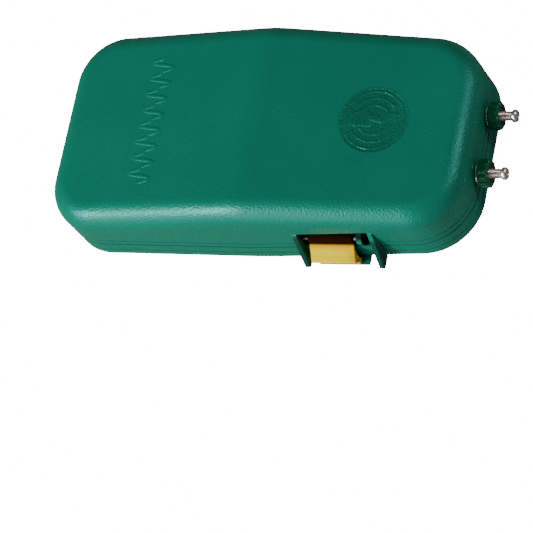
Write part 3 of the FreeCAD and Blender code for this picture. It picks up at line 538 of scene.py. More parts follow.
def knob_profile(low, high, outer, bore):
    """(x, radius, flute share) once round the wall of the knob, from its bore at the washer."""
    steps = np.linspace(0, math.pi / 2, 7)
    shoulder = 1.3
    rim = np.stack([high - shoulder * (1 - np.sin(steps)), outer - shoulder * (1 - np.cos(steps)),
                    np.cos(steps) ** 0.5], 1)
    return np.concatenate([
        [(low, bore, 0), (low, outer - 1.6, 0), (low, outer - 0.7, 0.1),
         (low + 0.35, outer - 0.3, 0.4), (low + 0.9, outer, 0.75), (low + 1.6, outer, 1.0)],
        np.stack([np.linspace(low + 2.1, high - shoulder - 0.3, 4), np.full(4, outer), np.ones(4)],
                 1),
        rim,
        [(high, outer - 2.0, 0), (high, outer - 2.7, 0), (high - 0.2, outer - 2.95, 0),
         (high - 0.6, outer - 3.1, 0), (high - 0.65, bore + 0.6, 0), (high - 0.9, bore, 0),
         (low + 2.5, bore, 0)],
    ])


def knob(node_name, visual_name):
    low, high = place_of(node_name)
    centre = (low[1:] + high[1:]) / 2
    radius = (high[1] - low[1]) / 2
    wall = turned(knob_profile(low[0], high[0], radius, KNOB_BORE), centre, KNOB_SEGMENTS, scallops)
    piece(visual_name, Shape().grid(wall, wrap_rows=True), knob_green, node_name,
          [node_name], 30)


knob("fence_knob", "fence_terminal_knob")
knob("earth_knob", "earth_terminal_knob")

# %% Threaded studs
STUD_CREST, BUTTON_RADIUS, BUTTON_LENGTH = 2.5, 3.3, 3.2
THREAD_PITCH, THREAD_DEPTH, THREAD_ROWS_PER_PITCH, STUD_SEGMENTS = 0.8, 0.43, 8, 36


def thread_radius(x, angle, crest):
    """The crest radius less a clipped triangle wave of the distance left after whole turns."""
    phase = np.mod(x / THREAD_PITCH - angle / (2 * math.pi), 1.0)
    valley = np.clip(1.3 * np.abs(2 * phase - 1) - 0.15, 0, 1)
    return crest - THREAD_DEPTH * valley


def stud(shape, y, z, start, shank_end, end, crest, head):
    rows = int((shank_end - start) / THREAD_PITCH * THREAD_ROWS_PER_PITCH)
    x = np.linspace(start, shank_end, rows)[:, None]
    angle = (np.arange(STUD_SEGMENTS) * 2 * math.pi / STUD_SEGMENTS)[None]
    lead_in = np.clip((x - start) / 0.8, 0, 1)
    radius = thread_radius(x, angle, crest) * (0.86 + 0.14 * lead_in)
    thread = np.stack([x + 0 * angle, y + radius * np.cos(angle), z + radius * np.sin(angle)], -1)
    bend = np.linspace(0, math.pi / 2, 9)
    dome = np.stack([end - 1.4 * (1 - np.sin(bend)), head - 1.4 * (1 - np.cos(bend))], 1)
    button = turned(np.concatenate([
        [(shank_end + 0.02, head - 0.9), (shank_end + 0.35, head - 0.3), (shank_end + 0.8, head)],
        dome,
        [(end - 0.05, head - 1.9), (end - 0.35, head - 2.1), (end - 0.7, head - 2.4),
         (end - 0.8, 0.2)],
    ]), (y, z), STUD_SEGMENTS)
    shape.grid(np.concatenate([thread, button]))


stud_low, stud_high = place_of("terminal_studs")
studs = Shape()
for knob_name in ("fence_knob", "earth_knob"):
    low, high = place_of(knob_name)
    stud(studs, (low[1] + high[1]) / 2, (low[2] + high[2]) / 2, stud_low[0],
         stud_high[0] - BUTTON_LENGTH, stud_high[0], STUD_CREST, BUTTON_RADIUS)
piece("threaded_studs", studs, stud_steel, "front_case", ["terminal_studs"], 50)

# %% [markdown]
# ## Marks on the front
#
# The mould has two raised marks, and neither says anything: a round badge with a lightning bolt,
# the common sign for high voltage, and a line of pulses like the one the circuit sends down the
# fence. The badge fills a shallow round recess in the front. Its height is a function of place:
# the floor of the recess, a low rim, and the bolt, whose edge slopes by its distance from the
# bolt's outline. The pulse line is a low rounded ridge carried along its path.

# %% The sloping front
RIDGE_HEIGHT, SLOPE = 48.8, (48.8 - 37.6) / 115.0
SLOPE_LENGTH = math.hypot(1, SLOPE)


def on_front(along, across, lift):
    """A point on the front: along is its x, across its y, lift its height square to the slope."""
    lean = np.sign(along) * SLOPE / SLOPE_LENGTH
    x = along + lift * lean
    z = RIDGE_HEIGHT - SLOPE * np.abs(along) + lift / SLOPE_LENGTH
    return np.stack(np.broadcast_arrays(x, across, z), -1)


# %% Round badge
BADGE_X, BADGE_Y, BADGE_RADIUS, BADGE_DEPTH = 64.6, 1.8, 18.38, 0.5
BOLT = np.array([(-12.5, 3.4), (-12.5, -3.6), (-1.5, -3.9), (-2.6, -0.1), (4.4, -1.6),
                 (13.2, 3.9), (4.0, 4.9), (3.0, 1.6), (-2.2, 3.4), (-5.0, 6.6)])


def outline_distance(u, v, corners):
    """Distance from points to a closed outline, positive inside it."""
    nearest = np.full(u.shape, 1e9)
    inside = np.zeros(u.shape, bool)
    for (u0, v0), (u1, v1) in zip(corners, np.roll(corners, -1, 0)):
        run_u, run_v = u1 - u0, v1 - v0
        t = np.clip(((u - u0) * run_u + (v - v0) * run_v) / (run_u ** 2 + run_v ** 2), 0, 1)
        nearest = np.minimum(nearest, np.hypot(u - u0 - t * run_u, v - v0 - t * run_v))
        crosses = (v0 > v) != (v1 > v)
        inside ^= crosses & (u < u0 + run_u * (v - v0) / (run_v if run_v else 1e-9))
    return np.where(inside, nearest, -nearest)


def ramp(distance, width):
    """0 to 1 across width, with eased ends."""
    t = np.clip(distance / width + 0.5, 0, 1)
    return t * t * (3 - 2 * t)


def badge_height(u, v):
    """Share of the recess that is filled: a stippled floor, a bolt, arcs beside it, flush rim."""
    radius, angle = np.hypot(u, v), np.arctan2(v, u)
    stipple = sum(np.cos((u * math.cos(t) + v * math.sin(t)) * k + 2.0 * np.sin(v * 0.31 + t))
                  for t, k in ((0.3, 4.1), (1.4, 4.7), (2.5, 5.3), (0.9, 3.4)))
    stipple = 0.12 * np.clip(stipple / 2.4, -1, 1)
    bolt = ramp(outline_distance(u, v, BOLT), 0.9)
    arcs = np.maximum.reduce([ramp(0.55 - np.abs(radius - r), 0.7) for r in (8.2, 12.2, 16.0)])
    arcs = arcs * ramp(np.abs(np.sin(angle)) - 0.52, 0.12)
    flush = ramp(radius - 17.5, 1.2)
    raised = np.maximum.reduce([0.75 * arcs, bolt, flush])
    return BADGE_DEPTH * np.clip(0.42 + stipple * (1 - raised) + 0.56 * raised, 0, 0.99)


radii = np.concatenate([np.linspace(0.02, 13.0, 74), np.linspace(13.15, BADGE_RADIUS, 44)])[:, None]
angles = (np.arange(300) * 2 * math.pi / 300)[None]
badge_u, badge_v = radii * np.cos(angles), radii * np.sin(angles)
top_side = on_front(BADGE_X + badge_u, BADGE_Y + badge_v,
                    badge_height(badge_u, badge_v) - BADGE_DEPTH)
under_side = on_front(BADGE_X + badge_u[-1:], BADGE_Y + badge_v[-1:],
                      np.full((1, 300), -BADGE_DEPTH - 0.02))
# The badge's green is the case green darkened: painted shade of its stippled recess.
badge_shaded_green = plastic("badge_shaded_green", (0.0, 0.066, 0.038), (0.0, 0.096, 0.058), roughness=0.44,
                      pebbles=640.0, depth=0.00024, strength=0.75, wear=0.4, specular=0.5,
                      tint=(0.2, 1.0, 0.93))
piece("front_badge", Shape().grid(np.concatenate([top_side, under_side])), badge_shaded_green,
      "front_case", (), 60)

# %% Pulse line
PULSE_COUNT, PULSE_PITCH, PULSE_START, PULSE_LINE_X = 8, 9.1, -35.0, -60.0
RIDGE_WIDTH, RIDGE_LIFT = 1.9, 0.27


def smoothed(path, rounds=3):
    """Cuts every corner of a path at a quarter and three quarters of its runs, again and again."""
    for _ in range(rounds):
        first, last = path[:-1], path[1:]
        cut = np.stack([0.75 * first + 0.25 * last, 0.25 * first + 0.75 * last], 1)
        cut = cut.reshape(-1, path.shape[1])
        path = np.concatenate([path[:1], cut, path[-1:]])
    return path


def ridge(shape, path, width, lift):
    """A low rounded ridge along a path of (x, y) on the front."""
    along = np.gradient(path, axis=0)
    along /= np.linalg.norm(along, axis=1, keepdims=True)
    t = np.linspace(0, math.pi, 9)
    offset = np.concatenate([-0.5 * width * np.cos(t), [0.5 * width, -0.5 * width]])
    height = np.concatenate([lift * np.sin(t) ** 0.8, [-0.25, -0.25]])
    x = path[:, :1] - along[:, 1:] * offset
    y = path[:, 1:] + along[:, :1] * offset
    shape.grid(on_front(x, y, height[None]))


one_pulse = np.array([(0, 0.0), (0, 0.8), (9.6, 3.2), (-9.6, 6.0), (0, 8.4)])
train = np.concatenate([one_pulse + (0, i * PULSE_PITCH) for i in range(PULSE_COUNT)])
train = np.concatenate([train, [(0, PULSE_COUNT * PULSE_PITCH)]]) + (PULSE_LINE_X, PULSE_START)
pulse_line = Shape()
ridge(pulse_line, smoothed(train, 2), RIDGE_WIDTH, RIDGE_LIFT)
underline = np.stack([np.full(40, PULSE_LINE_X - 10.5), np.linspace(-35.0, 2.0, 40)], 1)
ridge(pulse_line, underline, 0.9, 0.14)
piece("pulse_line_mark", pulse_line, case_green, "front_case", (), 50)

# %% [markdown]
# ## Washers
#
# A flat washer is stamped from sheet, so one of its edges is a little rounded and the other is
# sharp. Here both are slightly eased. Its section is a small rounded rectangle turned round the
# stud.

# %% Washers
STUD_BORE = 2.62


def ring(low, high, inner, outer, ease, centre, segments=72):
    """A ring: a rounded rectangle in (x, radius), turned round the line of the stud."""
    section = rounded_loop([(low, inner), (high, inner), (high, outer), (low, outer)], ease, 4)
    return turned(section, centre, segments)


for washer_name in ("fence_washer", "earth_washer"):
    low, high = place_of(washer_name)
    flat = ring(low[0], high[0], STUD_BORE, (high[1] - low[1]) / 2, 0.22, (low[1:] + high[1:]) / 2)
    piece(washer_name.replace("_", "_stud_"), Shape().grid(flat, wrap_rows=True), stud_steel,
          washer_name, [washer_name], 50)

# %% [markdown]
# ## Dry cells
#
# A dry cell is a zinc can in a printed plastic sleeve that is shrunk over its edges. Each cell is
# turned from three profiles: the dark sleeve, whose ends roll over the rim, a bright band round
# one end of it, and the pressed metal ends with the raised positive cap.

# %% Cell finishes
tinned_brass = metal("tinned_brass", (0.72, 0.69, 0.62), (0.48, 0.42, 0.32), roughness=0.28,
                     wear=0.5)
cell_jacket = plastic("cell_jacket", (0.012, 0.013, 0.015), (0.03, 0.03, 0.032), roughness=0.3,
                      pebbles=2500.0, depth=0.00001, strength=0.2, wear=0.5, swing=0.1,
                      specular=0.5)
cell_band = metal("cell_band", (0.62, 0.30, 0.11), (0.45, 0.20, 0.07), roughness=0.34, wear=0.4)

# %% Dry cells
CELL_LENGTH, CELL_GAP, CELL_SEGMENTS = 61.5, 0.15, 96


def cell_profiles(radius):
    """(distance from the flat end, radius) of the sleeve, its band and the two metal ends."""
    roll = np.linspace(0, math.pi / 2, 6)
    start = np.stack([1.5 * (1 - np.sin(roll[::-1])), radius - 1.5 * (1 - np.cos(roll[::-1]))], 1)
    finish = np.stack([59.7 - 1.3 * (1 - np.sin(roll)), radius - 1.3 * (1 - np.cos(roll))], 1)
    sleeve = np.concatenate([[(0.35, radius - 2.7), (0.08, radius - 2.3)], start,
                             [(30.0, radius)], finish,
                             [(59.62, radius - 2.2), (59.3, radius - 2.6)]])
    band = np.array([(43.0, radius - 0.1), (43.1, radius + 0.05), (43.4, radius + 0.07),
                     (57.6, radius + 0.07), (57.9, radius + 0.05), (58.0, radius - 0.1)])
    flat_end = np.array([(0.45, radius - 2.5), (0.2, radius - 2.9), (0.2, 10.6), (0.05, 10.0),
                         (0.02, 9.0), (0.02, 0.15)])
    cap_end = np.array([(59.2, radius - 2.5), (59.45, radius - 3.0), (59.5, 9.0), (59.8, 6.2),
                        (60.0, 5.3), (60.3, 4.85), (61.1, 4.75), (61.4, 4.4), (61.5, 3.8),
                        (61.5, 0.15)])
    return sleeve, band, flat_end, cap_end


cells_low, cells_high = place_of("cells")
cell_radius = (cells_high[2] - cells_low[2]) / 2
sleeves, bands, ends = Shape(), Shape(), Shape()
for side in (1, -1):
    row_start = cells_low[0] if side < 0 else cells_high[0] - 2 * CELL_LENGTH - CELL_GAP
    centre = (side * (cells_high[1] - cell_radius), (cells_low[2] + cells_high[2]) / 2)
    for slot_number in range(2):
        first = row_start + slot_number * (CELL_LENGTH + CELL_GAP)
        origin = first if side > 0 else first + CELL_LENGTH
        for profile, into in zip(cell_profiles(cell_radius), (sleeves, bands, ends, ends)):
            line = np.column_stack([origin + side * profile[:, 0], profile[:, 1]])
            into.grid(turned(line, centre, CELL_SEGMENTS))
piece("cell_sleeves", sleeves, cell_jacket, "front_case", ["cells"], 50)
piece("cell_bands", bands, cell_band, "front_case", (), 50)
piece("cell_ends", ends, tinned_brass, "front_case", (), 40)

# %% [markdown]
# ## Wound and rolled parts
#
# The pulse transformer steps the charge up to thousands of volts. Its coil is wound turn beside
# turn, so the outside is ribbed. A closed rounded outline is carried along the coil's axis and
# swells a little for each wire. A film capacitor is a roll in a sleeve with poured resin ends,
# and an electrolytic one is a can with a pinched waist and a scored top that can open safely.

# %% Part finishes
copper_wire = metal("copper_wire", (0.62, 0.20, 0.06), (0.36, 0.10, 0.03), roughness=0.3, wear=0.5)
winding_tape = plastic("winding_tape", (0.66, 0.42, 0.05), (0.55, 0.32, 0.04), roughness=0.35,
                       pebbles=3000.0, depth=0.00001, strength=0.2, wear=0.5)
capacitor_blue = plastic("capacitor_blue", (0.015, 0.06, 0.24), (0.03, 0.09, 0.28), roughness=0.28,
                         pebbles=2600.0, depth=0.00001, strength=0.2, wear=0.5)
capacitor_black = plastic("capacitor_black", (0.012, 0.012, 0.016), (0.03, 0.03, 0.035),
                          roughness=0.3, pebbles=2600.0, depth=0.00001, strength=0.2, wear=0.5)
resin = plastic("poured_resin", (0.05, 0.055, 0.07), (0.08, 0.08, 0.09), roughness=0.22,
                pebbles=500.0, depth=0.00005, strength=0.25, wear=0.4)
can_top = metal("can_top", (0.80, 0.80, 0.81), (0.6, 0.6, 0.6), roughness=0.25, wear=0.3)

# %% Pulse winding
WIRE_PITCH, ROWS_PER_TURN = 0.62, 8


def rounded_box_loop(low, high, radius, steps=7):
    return rounded_loop([(low[0], low[1]), (high[0], low[1]), (high[0], high[1]),
                         (low[0], high[1])], radius, steps)


def dense(loop, spacing):
    """A closed outline with more points on its long runs."""
    following = np.roll(loop, -1, 0)
    made = []
    for first, last in zip(loop, following):
        count = max(1, int(np.linalg.norm(last - first) / spacing))
        made.append(first + (last - first) * (np.arange(count) / count)[:, None])
    return np.concatenate(made)


def wound_coil(low, high, drawn_in):
    """Rounded outline in (x, z) carried along y; each turn of wire is a half circle across."""
    outline = dense(rounded_box_loop((low[0], low[2]), (high[0], high[2]), 3.0), 3.0)
    inward = inward_of(outline)
    turns = int((high[1] - low[1]) / WIRE_PITCH)
    y = np.linspace(low[1], high[1], turns * ROWS_PER_TURN + 1)
    phase = np.mod(np.arange(len(y)) / ROWS_PER_TURN, 1.0)
    swell = np.sqrt(np.clip(1 - (2 * phase - 1) ** 2, 0, 1))
    inset = drawn_in + 0.5 * WIRE_PITCH * (1 - swell)
    flat = outline[None] + inward[None] * inset[:, None, None]
    rows = np.broadcast_to(y[:, None], flat.shape[:2])
    return np.stack([flat[..., 0], rows, flat[..., 1]], -1)


coil_low, coil_high = place_of("pulse_windings")
piece("pulse_coil", Shape().grid(wound_coil(coil_low, coil_high, 0.1)), copper_wire, "front_case",
      ["pulse_windings"], 70)
tape_low, tape_high = coil_low + (0.05, 4.6, 0.05), coil_high - (0.05, 4.6, 0.05)
tape_loop = dense(
    rounded_box_loop((tape_low[0], tape_low[2]), (tape_high[0], tape_high[2]), 3.0), 3.0)
tape_y = np.array([tape_low[1], tape_low[1] + 0.02, tape_low[1] + 2.2, tape_high[1] - 2.4,
                   tape_high[1] - 0.02, tape_high[1]])
tape_inset = np.array([0.25, 0.02, 0.0, 0.0, 0.02, 0.25])
tape_rows = tape_loop[None] + inward_of(tape_loop)[None] * tape_inset[:, None, None]
tape = np.stack([tape_rows[..., 0], np.broadcast_to(tape_y[:, None], tape_rows.shape[:2]),
                 tape_rows[..., 1]], -1)
piece("coil_tape", Shape().grid(tape), winding_tape, "front_case", (), 50)

# %% Leads
LEAD_RADIUS = 0.35


def lead(shape, points, radius, up=(0.0, 1.0, 0.0)):
    """A round wire along a path with softened corners."""
    shape.grid(swept(smoothed(np.array(points, float), 3), circle(radius, 10), up))


# %% Film capacitor
film_low, film_high = place_of("storage_capacitor")
film_y, film_z, film_radius = (film_low[1] + film_high[1]) / 2, film_low[2] + 10.8, 10.75
film_x = (film_low[0] + 3.0, film_high[0] - 3.0)
bend = np.linspace(0, math.pi / 2, 7)
film_start = np.stack([film_x[0] + 1.4 * (1 - np.sin(bend[::-1])),
                       film_radius - 1.4 * (1 - np.cos(bend[::-1]))], 1)
film_finish = np.stack([film_x[1] - 1.4 * (1 - np.sin(bend)),
                        film_radius - 1.4 * (1 - np.cos(bend))], 1)
film_line = np.concatenate([[(film_x[0] + 0.5, film_radius - 1.9)], film_start,
                            [(film_x[0] + 12, film_radius), (film_x[1] - 12, film_radius)],
                            film_finish, [(film_x[1] - 0.5, film_radius - 1.9)]])
film = turned(film_line, (film_y, film_z), 96)
piece("film_capacitor", Shape().grid(film), capacitor_blue, "front_case",
      ["storage_capacitor"], 50)
resin_ends, film_leads = Shape(), Shape()
for end_x, way in ((film_x[0], 1), (film_x[1], -1)):
    pool = [(end_x + way * along, radius) for along, radius in (
        (1.0, film_radius - 1.8), (0.42, film_radius - 2.0), (0.25, 7.0), (0.1, 3.0),
        (-0.15, 1.2), (-0.5, 0.6), (-0.55, 0.1))]
    resin_ends.grid(turned(pool, (film_y, film_z), 64))
    far = end_x - way * 2.5
    lead(film_leads, [(end_x, film_y, film_z), (far, film_y, film_z), (far, film_y, 28.4)], 0.5)
piece("capacitor_resin", resin_ends, resin, "front_case", (), 50)
piece("capacitor_leads", film_leads, tinned_brass, "front_case", (), 50)

# %% Electrolytic cans
BOARD_FACE = place_of("circuit_board")[0][2]
CANS = [(56.0, 6.0, 6.4, 19.0), (67.2, 12.2, 4.0, 12.0), (85.6, 13.4, 3.1, 9.0)]


def can_profile(radius, height):
    """(height, radius) from the board down to the free end, with a pinched waist near the board."""
    t = np.linspace(0, math.pi, 9)
    waist = np.stack([BOARD_FACE - 1.9 - t / math.pi * 1.4, radius - 0.38 * np.sin(t) ** 0.8], 1)
    foot = BOARD_FACE - height
    round_off = np.stack([foot + 0.6 * (1 - np.sin(bend)), radius - 0.6 * (1 - np.cos(bend))], 1)
    return np.concatenate([[(BOARD_FACE, radius - 0.9), (BOARD_FACE - 0.1, radius - 0.3),
                            (BOARD_FACE - 0.5, radius - 0.02)], waist,
                           [(foot + 2.0, radius)], round_off,
                           [(foot + 0.02, radius - 1.0), (foot + 0.35, radius - 1.15)]])


def scored_top(cx, cy, radius, level):
    """A disc whose height dips along three spokes, as the safety score of a can does."""
    r = np.linspace(0.02, radius, 24)[:, None]
    a = (np.arange(96) * 2 * math.pi / 96)[None]
    spoke = np.abs(np.sin(1.5 * (a - math.pi / 2))) * r
    dip = 0.16 * ramp(0.28 - spoke, 0.25) * ramp(radius * 0.72 - r, 0.5)
    z = level + dip + 0 * a
    face = np.stack([cx + r * np.cos(a), cy + r * np.sin(a), z], -1)
    back_edge = face[-1:] + (0, 0, 0.3)
    return np.concatenate([face, back_edge])


cans, can_tops = Shape(), Shape()
for cx, cy, radius, height in CANS:
    cans.grid(turned(can_profile(radius, height), (cx, cy), 64)[..., [1, 2, 0]])
    can_tops.grid(scored_top(cx, cy, radius - 1.05, BOARD_FACE - height + 0.12))
piece("electrolytic_cans", cans, capacitor_black, "front_case",
      ["electrolytic_capacitors"], 50)
piece("can_tops", can_tops, can_top, "front_case", (), 50)

# %% [markdown]
# ## Resistors and diodes
#
# Both are small barrels with a wire at each end. A resistor's barrel is thicker at its ends,
# where metal caps sit under the paint, and coloured rings tell its value. A diode's barrel is
# plain, with one silver ring at the end that current leaves by. The rings are colour alone, so
# they are chosen in the material by how far along the barrel a point is.


# %% Banded finish
def banded(name, body_colour, bands, roughness):
    """A glossy paint with rings: each band is (start, end, colour) in millimetres along x."""
    made = plastic(name, body_colour, body_colour, roughness=roughness, pebbles=2500.0,
                   depth=0.00001, strength=0.15, wear=0.2)
    tree, shader, place = opened(made)
    colour = shader.inputs["Base Color"].links[0].from_socket
    along = node(tree, "ShaderNodeSeparateXYZ", {0: place}).outputs["X"]
    for start, end, band_colour in bands:
        middle, half_width = (start + end) / 2 * MM, (end - start) / 2 * MM
        away = calc(tree, "SUBTRACT", along, middle)
        size = calc(tree, "ABSOLUTE", away)
        mask = stretched(tree, size, half_width * 0.9, half_width * 1.1, 1.0, 0.0)
        colour = mixed(tree, mask, colour, (*band_colour, 1.0))
    tree.links.new(colour, shader.inputs["Base Color"])
    return made


def barrel(shape, wires, x, y, z, half, radius, waist):
    """A barrel along x whose radius dips by waist in the middle, and its two bent wires."""
    t = np.linspace(-1, 1, 25)
    swell = np.where(np.abs(t) > 0.55, 1.0, 1 - waist * np.cos(t / 0.55 * math.pi / 2) ** 0.6)
    round_end = np.sqrt(np.clip(1 - np.clip((np.abs(t) - 0.82) / 0.18, 0, 1) ** 2, 0.05, 1))
    line = np.stack([x + half * t, radius * swell * round_end], 1)
    shape.grid(turned(line, (y, z), 28))
    for way in (-1, 1):
        reach = x + way * (half + 1.8)
        lead(wires, [(x + way * half * 0.9, y, z), (reach, y, z), (reach, y, BOARD_FACE)],
             LEAD_RADIUS)


def row_of(node_name, count, radius):
    """Centre x, the evenly spaced y values and z of a row of barrels."""
    low, high = place_of(node_name)
    return ((low[0] + high[0]) / 2, np.linspace(low[1] + radius, high[1] - radius, count),
            low[2] + radius)


resistor_tan = banded("resistor_tan", (0.50, 0.34, 0.18), [
    (69.5, 70.1, (0.12, 0.05, 0.015)), (70.9, 71.5, (0.01, 0.01, 0.01)),
    (72.1, 72.7, (0.45, 0.03, 0.02)), (74.0, 74.6, (0.50, 0.36, 0.08))], 0.32)
diode_black = banded("diode_black", (0.012, 0.012, 0.014), [(83.2, 83.8, (0.55, 0.55, 0.56))], 0.35)
barrels, diode_barrels, small_leads = Shape(), Shape(), Shape()
row_x, row_y, row_z = row_of("resistors", 4, 1.15)
for y in row_y:
    barrel(barrels, small_leads, row_x, y, row_z, 3.2, 1.15, 0.2)
row_x, row_y, row_z = row_of("diodes", 3, 1.3)
for y in row_y:
    barrel(diode_barrels, small_leads, row_x, y, row_z, 2.4, 1.3, 0.0)
piece("resistor_barrels", barrels, resistor_tan, "front_case", ["resistors"], 50)
piece("diode_barrels", diode_barrels, diode_black, "front_case", ["diodes"], 50)
piece("component_leads", small_leads, tinned_brass, "front_case", (), 50)

# %% [markdown]
# ## Circuit board
#
# The board is glass cloth in resin under green solder mask. Copper tracks lie under the mask and
# show as low ridges of a lighter green, and every lead ends in a small cone of solder. A track is
# a flat section with eased edges carried along a path that turns by forty-five degrees.

# %% Tracks and solder
TRACK_HEIGHT = 0.09
TRACKS = [
    (1.6, [(49.5, 17.6), (52.5, 20.6), (58.0, 20.6)]),
    (1.6, [(49.5, -17.6), (49.5, -8.0), (52.0, -5.5), (52.0, 2.0)]),
    (2.4, [(47.5, 28.0), (47.5, 39.5), (92.0, 39.5), (97.0, 34.5)]),
    (2.4, [(90.5, 28.0), (90.5, 16.8), (86.0, 16.8)]),
    (1.0, [(66.8, -6.9), (62.0, -6.9), (60.0, -4.9), (60.0, 3.0)]),
    (1.0, [(66.8, -4.0), (63.5, -4.0), (61.9, -2.4), (61.9, 9.0), (64.6, 11.7)]),
    (1.0, [(66.8, -1.1), (65.4, 0.3), (65.4, 3.6), (69.0, 7.2), (72.0, 7.2)]),
    (1.0, [(66.8, 1.8), (68.6, 3.6), (73.0, 3.6)]),
    (1.0, [(77.0, 1.8), (77.8, 2.6), (77.8, 6.0)]),
    (1.0, [(86.0, -6.4), (88.5, -3.9), (88.5, 2.5), (90.5, 4.5)]),
    (1.0, [(86.0, 0.2), (87.2, 1.4), (87.2, 7.0), (90.0, 7.5)]),
    (1.4, [(57.0, -15.6), (57.0, -12.0), (77.0, -12.0), (86.0, -12.0), (89.4, -12.4)]),
    (1.4, [(57.0, -32.4), (57.0, -36.0), (84.0, -36.0), (90.0, -30.0), (98.5, -30.0),
           (98.5, -16.0)]),
    (1.8, [(99.0, -14.0), (99.0, 14.0)]),
    (1.0, [(82.2, 11.4), (84.6, 13.8), (84.6, 21.0), (92.0, 24.0)]),
]


SOLDER_CONE = [(BOARD_FACE + 0.02, 1.05), (BOARD_FACE - 0.1, 1.0), (BOARD_FACE - 0.3, 0.7),
               (BOARD_FACE - 0.7, 0.42), (BOARD_FACE - 1.0, 0.3), (BOARD_FACE - 1.05, 0.05)]


def flat_section(width):
    """The section of a track that lies on the lower face: sunk at its top, eased at its edges."""
    return np.array([(-width / 2, 0.05), (width / 2, 0.05), (width / 2, -TRACK_HEIGHT * 0.6),
                     (width / 2 - 0.12, -TRACK_HEIGHT), (0.12 - width / 2, -TRACK_HEIGHT),
                     (-width / 2, -TRACK_HEIGHT * 0.6)])


tracks, solder = Shape(), Shape()
for width, route in TRACKS:
    path = smoothed(np.column_stack([np.array(route), np.full(len(route), BOARD_FACE)]), 2)
    tracks.grid(swept(path, flat_section(width), (0, 0, 1)))
    for x, y in (route[0], route[-1]):
        solder.grid(turned(SOLDER_CONE, (x, y), 20)[..., [1, 2, 0]])
track_green = plastic("track_green", (0.02, 0.20, 0.05), (0.03, 0.24, 0.07), roughness=0.25,
                      pebbles=900.0, depth=0.00002, strength=0.3, wear=0.5)
solder_bright = metal("solder", (0.62, 0.63, 0.65), (0.42, 0.42, 0.43), roughness=0.22)
piece("board_tracks", tracks, track_green, "front_case", (), 50)
piece("board_solder", solder, solder_bright, "front_case", (), 60)

# %% [markdown]
# ## Finishes for the parts that keep their solid shape
#
# Holder, bobbin, cores, chip, heat sink, switch, screws, wires and seal already have their real
# shape, so only their finish is made here. Where one solid shows two materials, such as a chip
# and its legs, a mask made from the place of each point parts them.


# %% Masks by place
def inside_box(tree, place, low, high, soft=0.0001):
    """A mask that is 1 inside a box and falls to 0 within soft metres of its faces."""
    centre = [(a + b) / 2 * MM for a, b in zip(low, high)]
    half_size = [(b - a) / 2 * MM for a, b in zip(low, high)]
    away = node(tree, "ShaderNodeVectorMath", {0: place, 1: centre}, operation="SUBTRACT")
    size = node(tree, "ShaderNodeVectorMath", {0: away.outputs[0]}, operation="ABSOLUTE")
    over = node(tree, "ShaderNodeVectorMath", {0: size.outputs[0], 1: half_size},
                operation="SUBTRACT")
    parts = node(tree, "ShaderNodeSeparateXYZ", {0: over.outputs[0]})
    first = calc(tree, "MAXIMUM", parts.outputs["X"], parts.outputs["Y"])
    most = calc(tree, "MAXIMUM", first, parts.outputs["Z"])
    return stretched(tree, most, -soft, 0.0, 1.0, 0.0)


def two_part(made, boxes, metal_colour):
    """Inside the boxes the material turns into bare metal."""
    tree, shader, place = opened(made)
    mask = None
    for low, high in boxes:
        one = inside_box(tree, place, low, high)
        mask = one if mask is None else calc(tree, "MAXIMUM", mask, one)
    colour = shader.inputs["Base Color"].links[0].from_socket
    tree.links.new(mixed(tree, mask, colour, (*metal_colour, 1.0)), shader.inputs["Base Color"])
    tree.links.new(mask, shader.inputs["Metallic"])
    return made


def paint(material, *node_names):
    for name in node_names:
        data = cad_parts[name].data
        data.materials.clear()
        data.materials.append(material)
    print(f"{material.name}: {', '.join(node_names)}")


# %% Rubber, wires and screws
seal_rubber = plastic("seal_rubber", (0.018, 0.018, 0.018), (0.05, 0.05, 0.048), roughness=0.62,
                      pebbles=1800.0, depth=0.00003, strength=0.4, wear=0.5, dust=0.15,
                      specular=0.35)
wire_red = plastic("wire_red", (0.42, 0.012, 0.01), (0.5, 0.04, 0.03), roughness=0.36,
                   pebbles=1500.0, depth=0.00002, strength=0.3, wear=0.4)
wire_black = plastic("wire_black", (0.012, 0.012, 0.012), (0.03, 0.03, 0.03), roughness=0.4,
                     pebbles=1500.0, depth=0.00002, strength=0.3, wear=0.4)
zinc = metal("zinc_plate", (0.66, 0.67, 0.66), (0.50, 0.47, 0.38), roughness=0.3, wear=0.5)
paint(seal_rubber, "gasket")
paint(wire_red, "output_wires")
paint(wire_black, "battery_wires")
paint(zinc, "board_screws", "holder_screws", "stud_nuts")
paint(pin_steel, "hinge_pins", "latch_pin")
paint(tinned_brass, "ring_lugs", "cell_contacts", "cell_springs")

# %% Holder, bobbin and cores
holder_black = plastic("holder_black", (0.014, 0.015, 0.016), (0.035, 0.036, 0.037), roughness=0.5,
                       pebbles=1000.0, depth=0.00007, strength=0.5, wear=0.5, dust=0.1)
bobbin_black = plastic("bobbin_black", (0.016, 0.015, 0.014), (0.04, 0.038, 0.035), roughness=0.42,
                       pebbles=1600.0, depth=0.00003, strength=0.4, wear=0.4)
paint(holder_black, "cell_holder")
paint(bobbin_black, "pulse_bobbin")


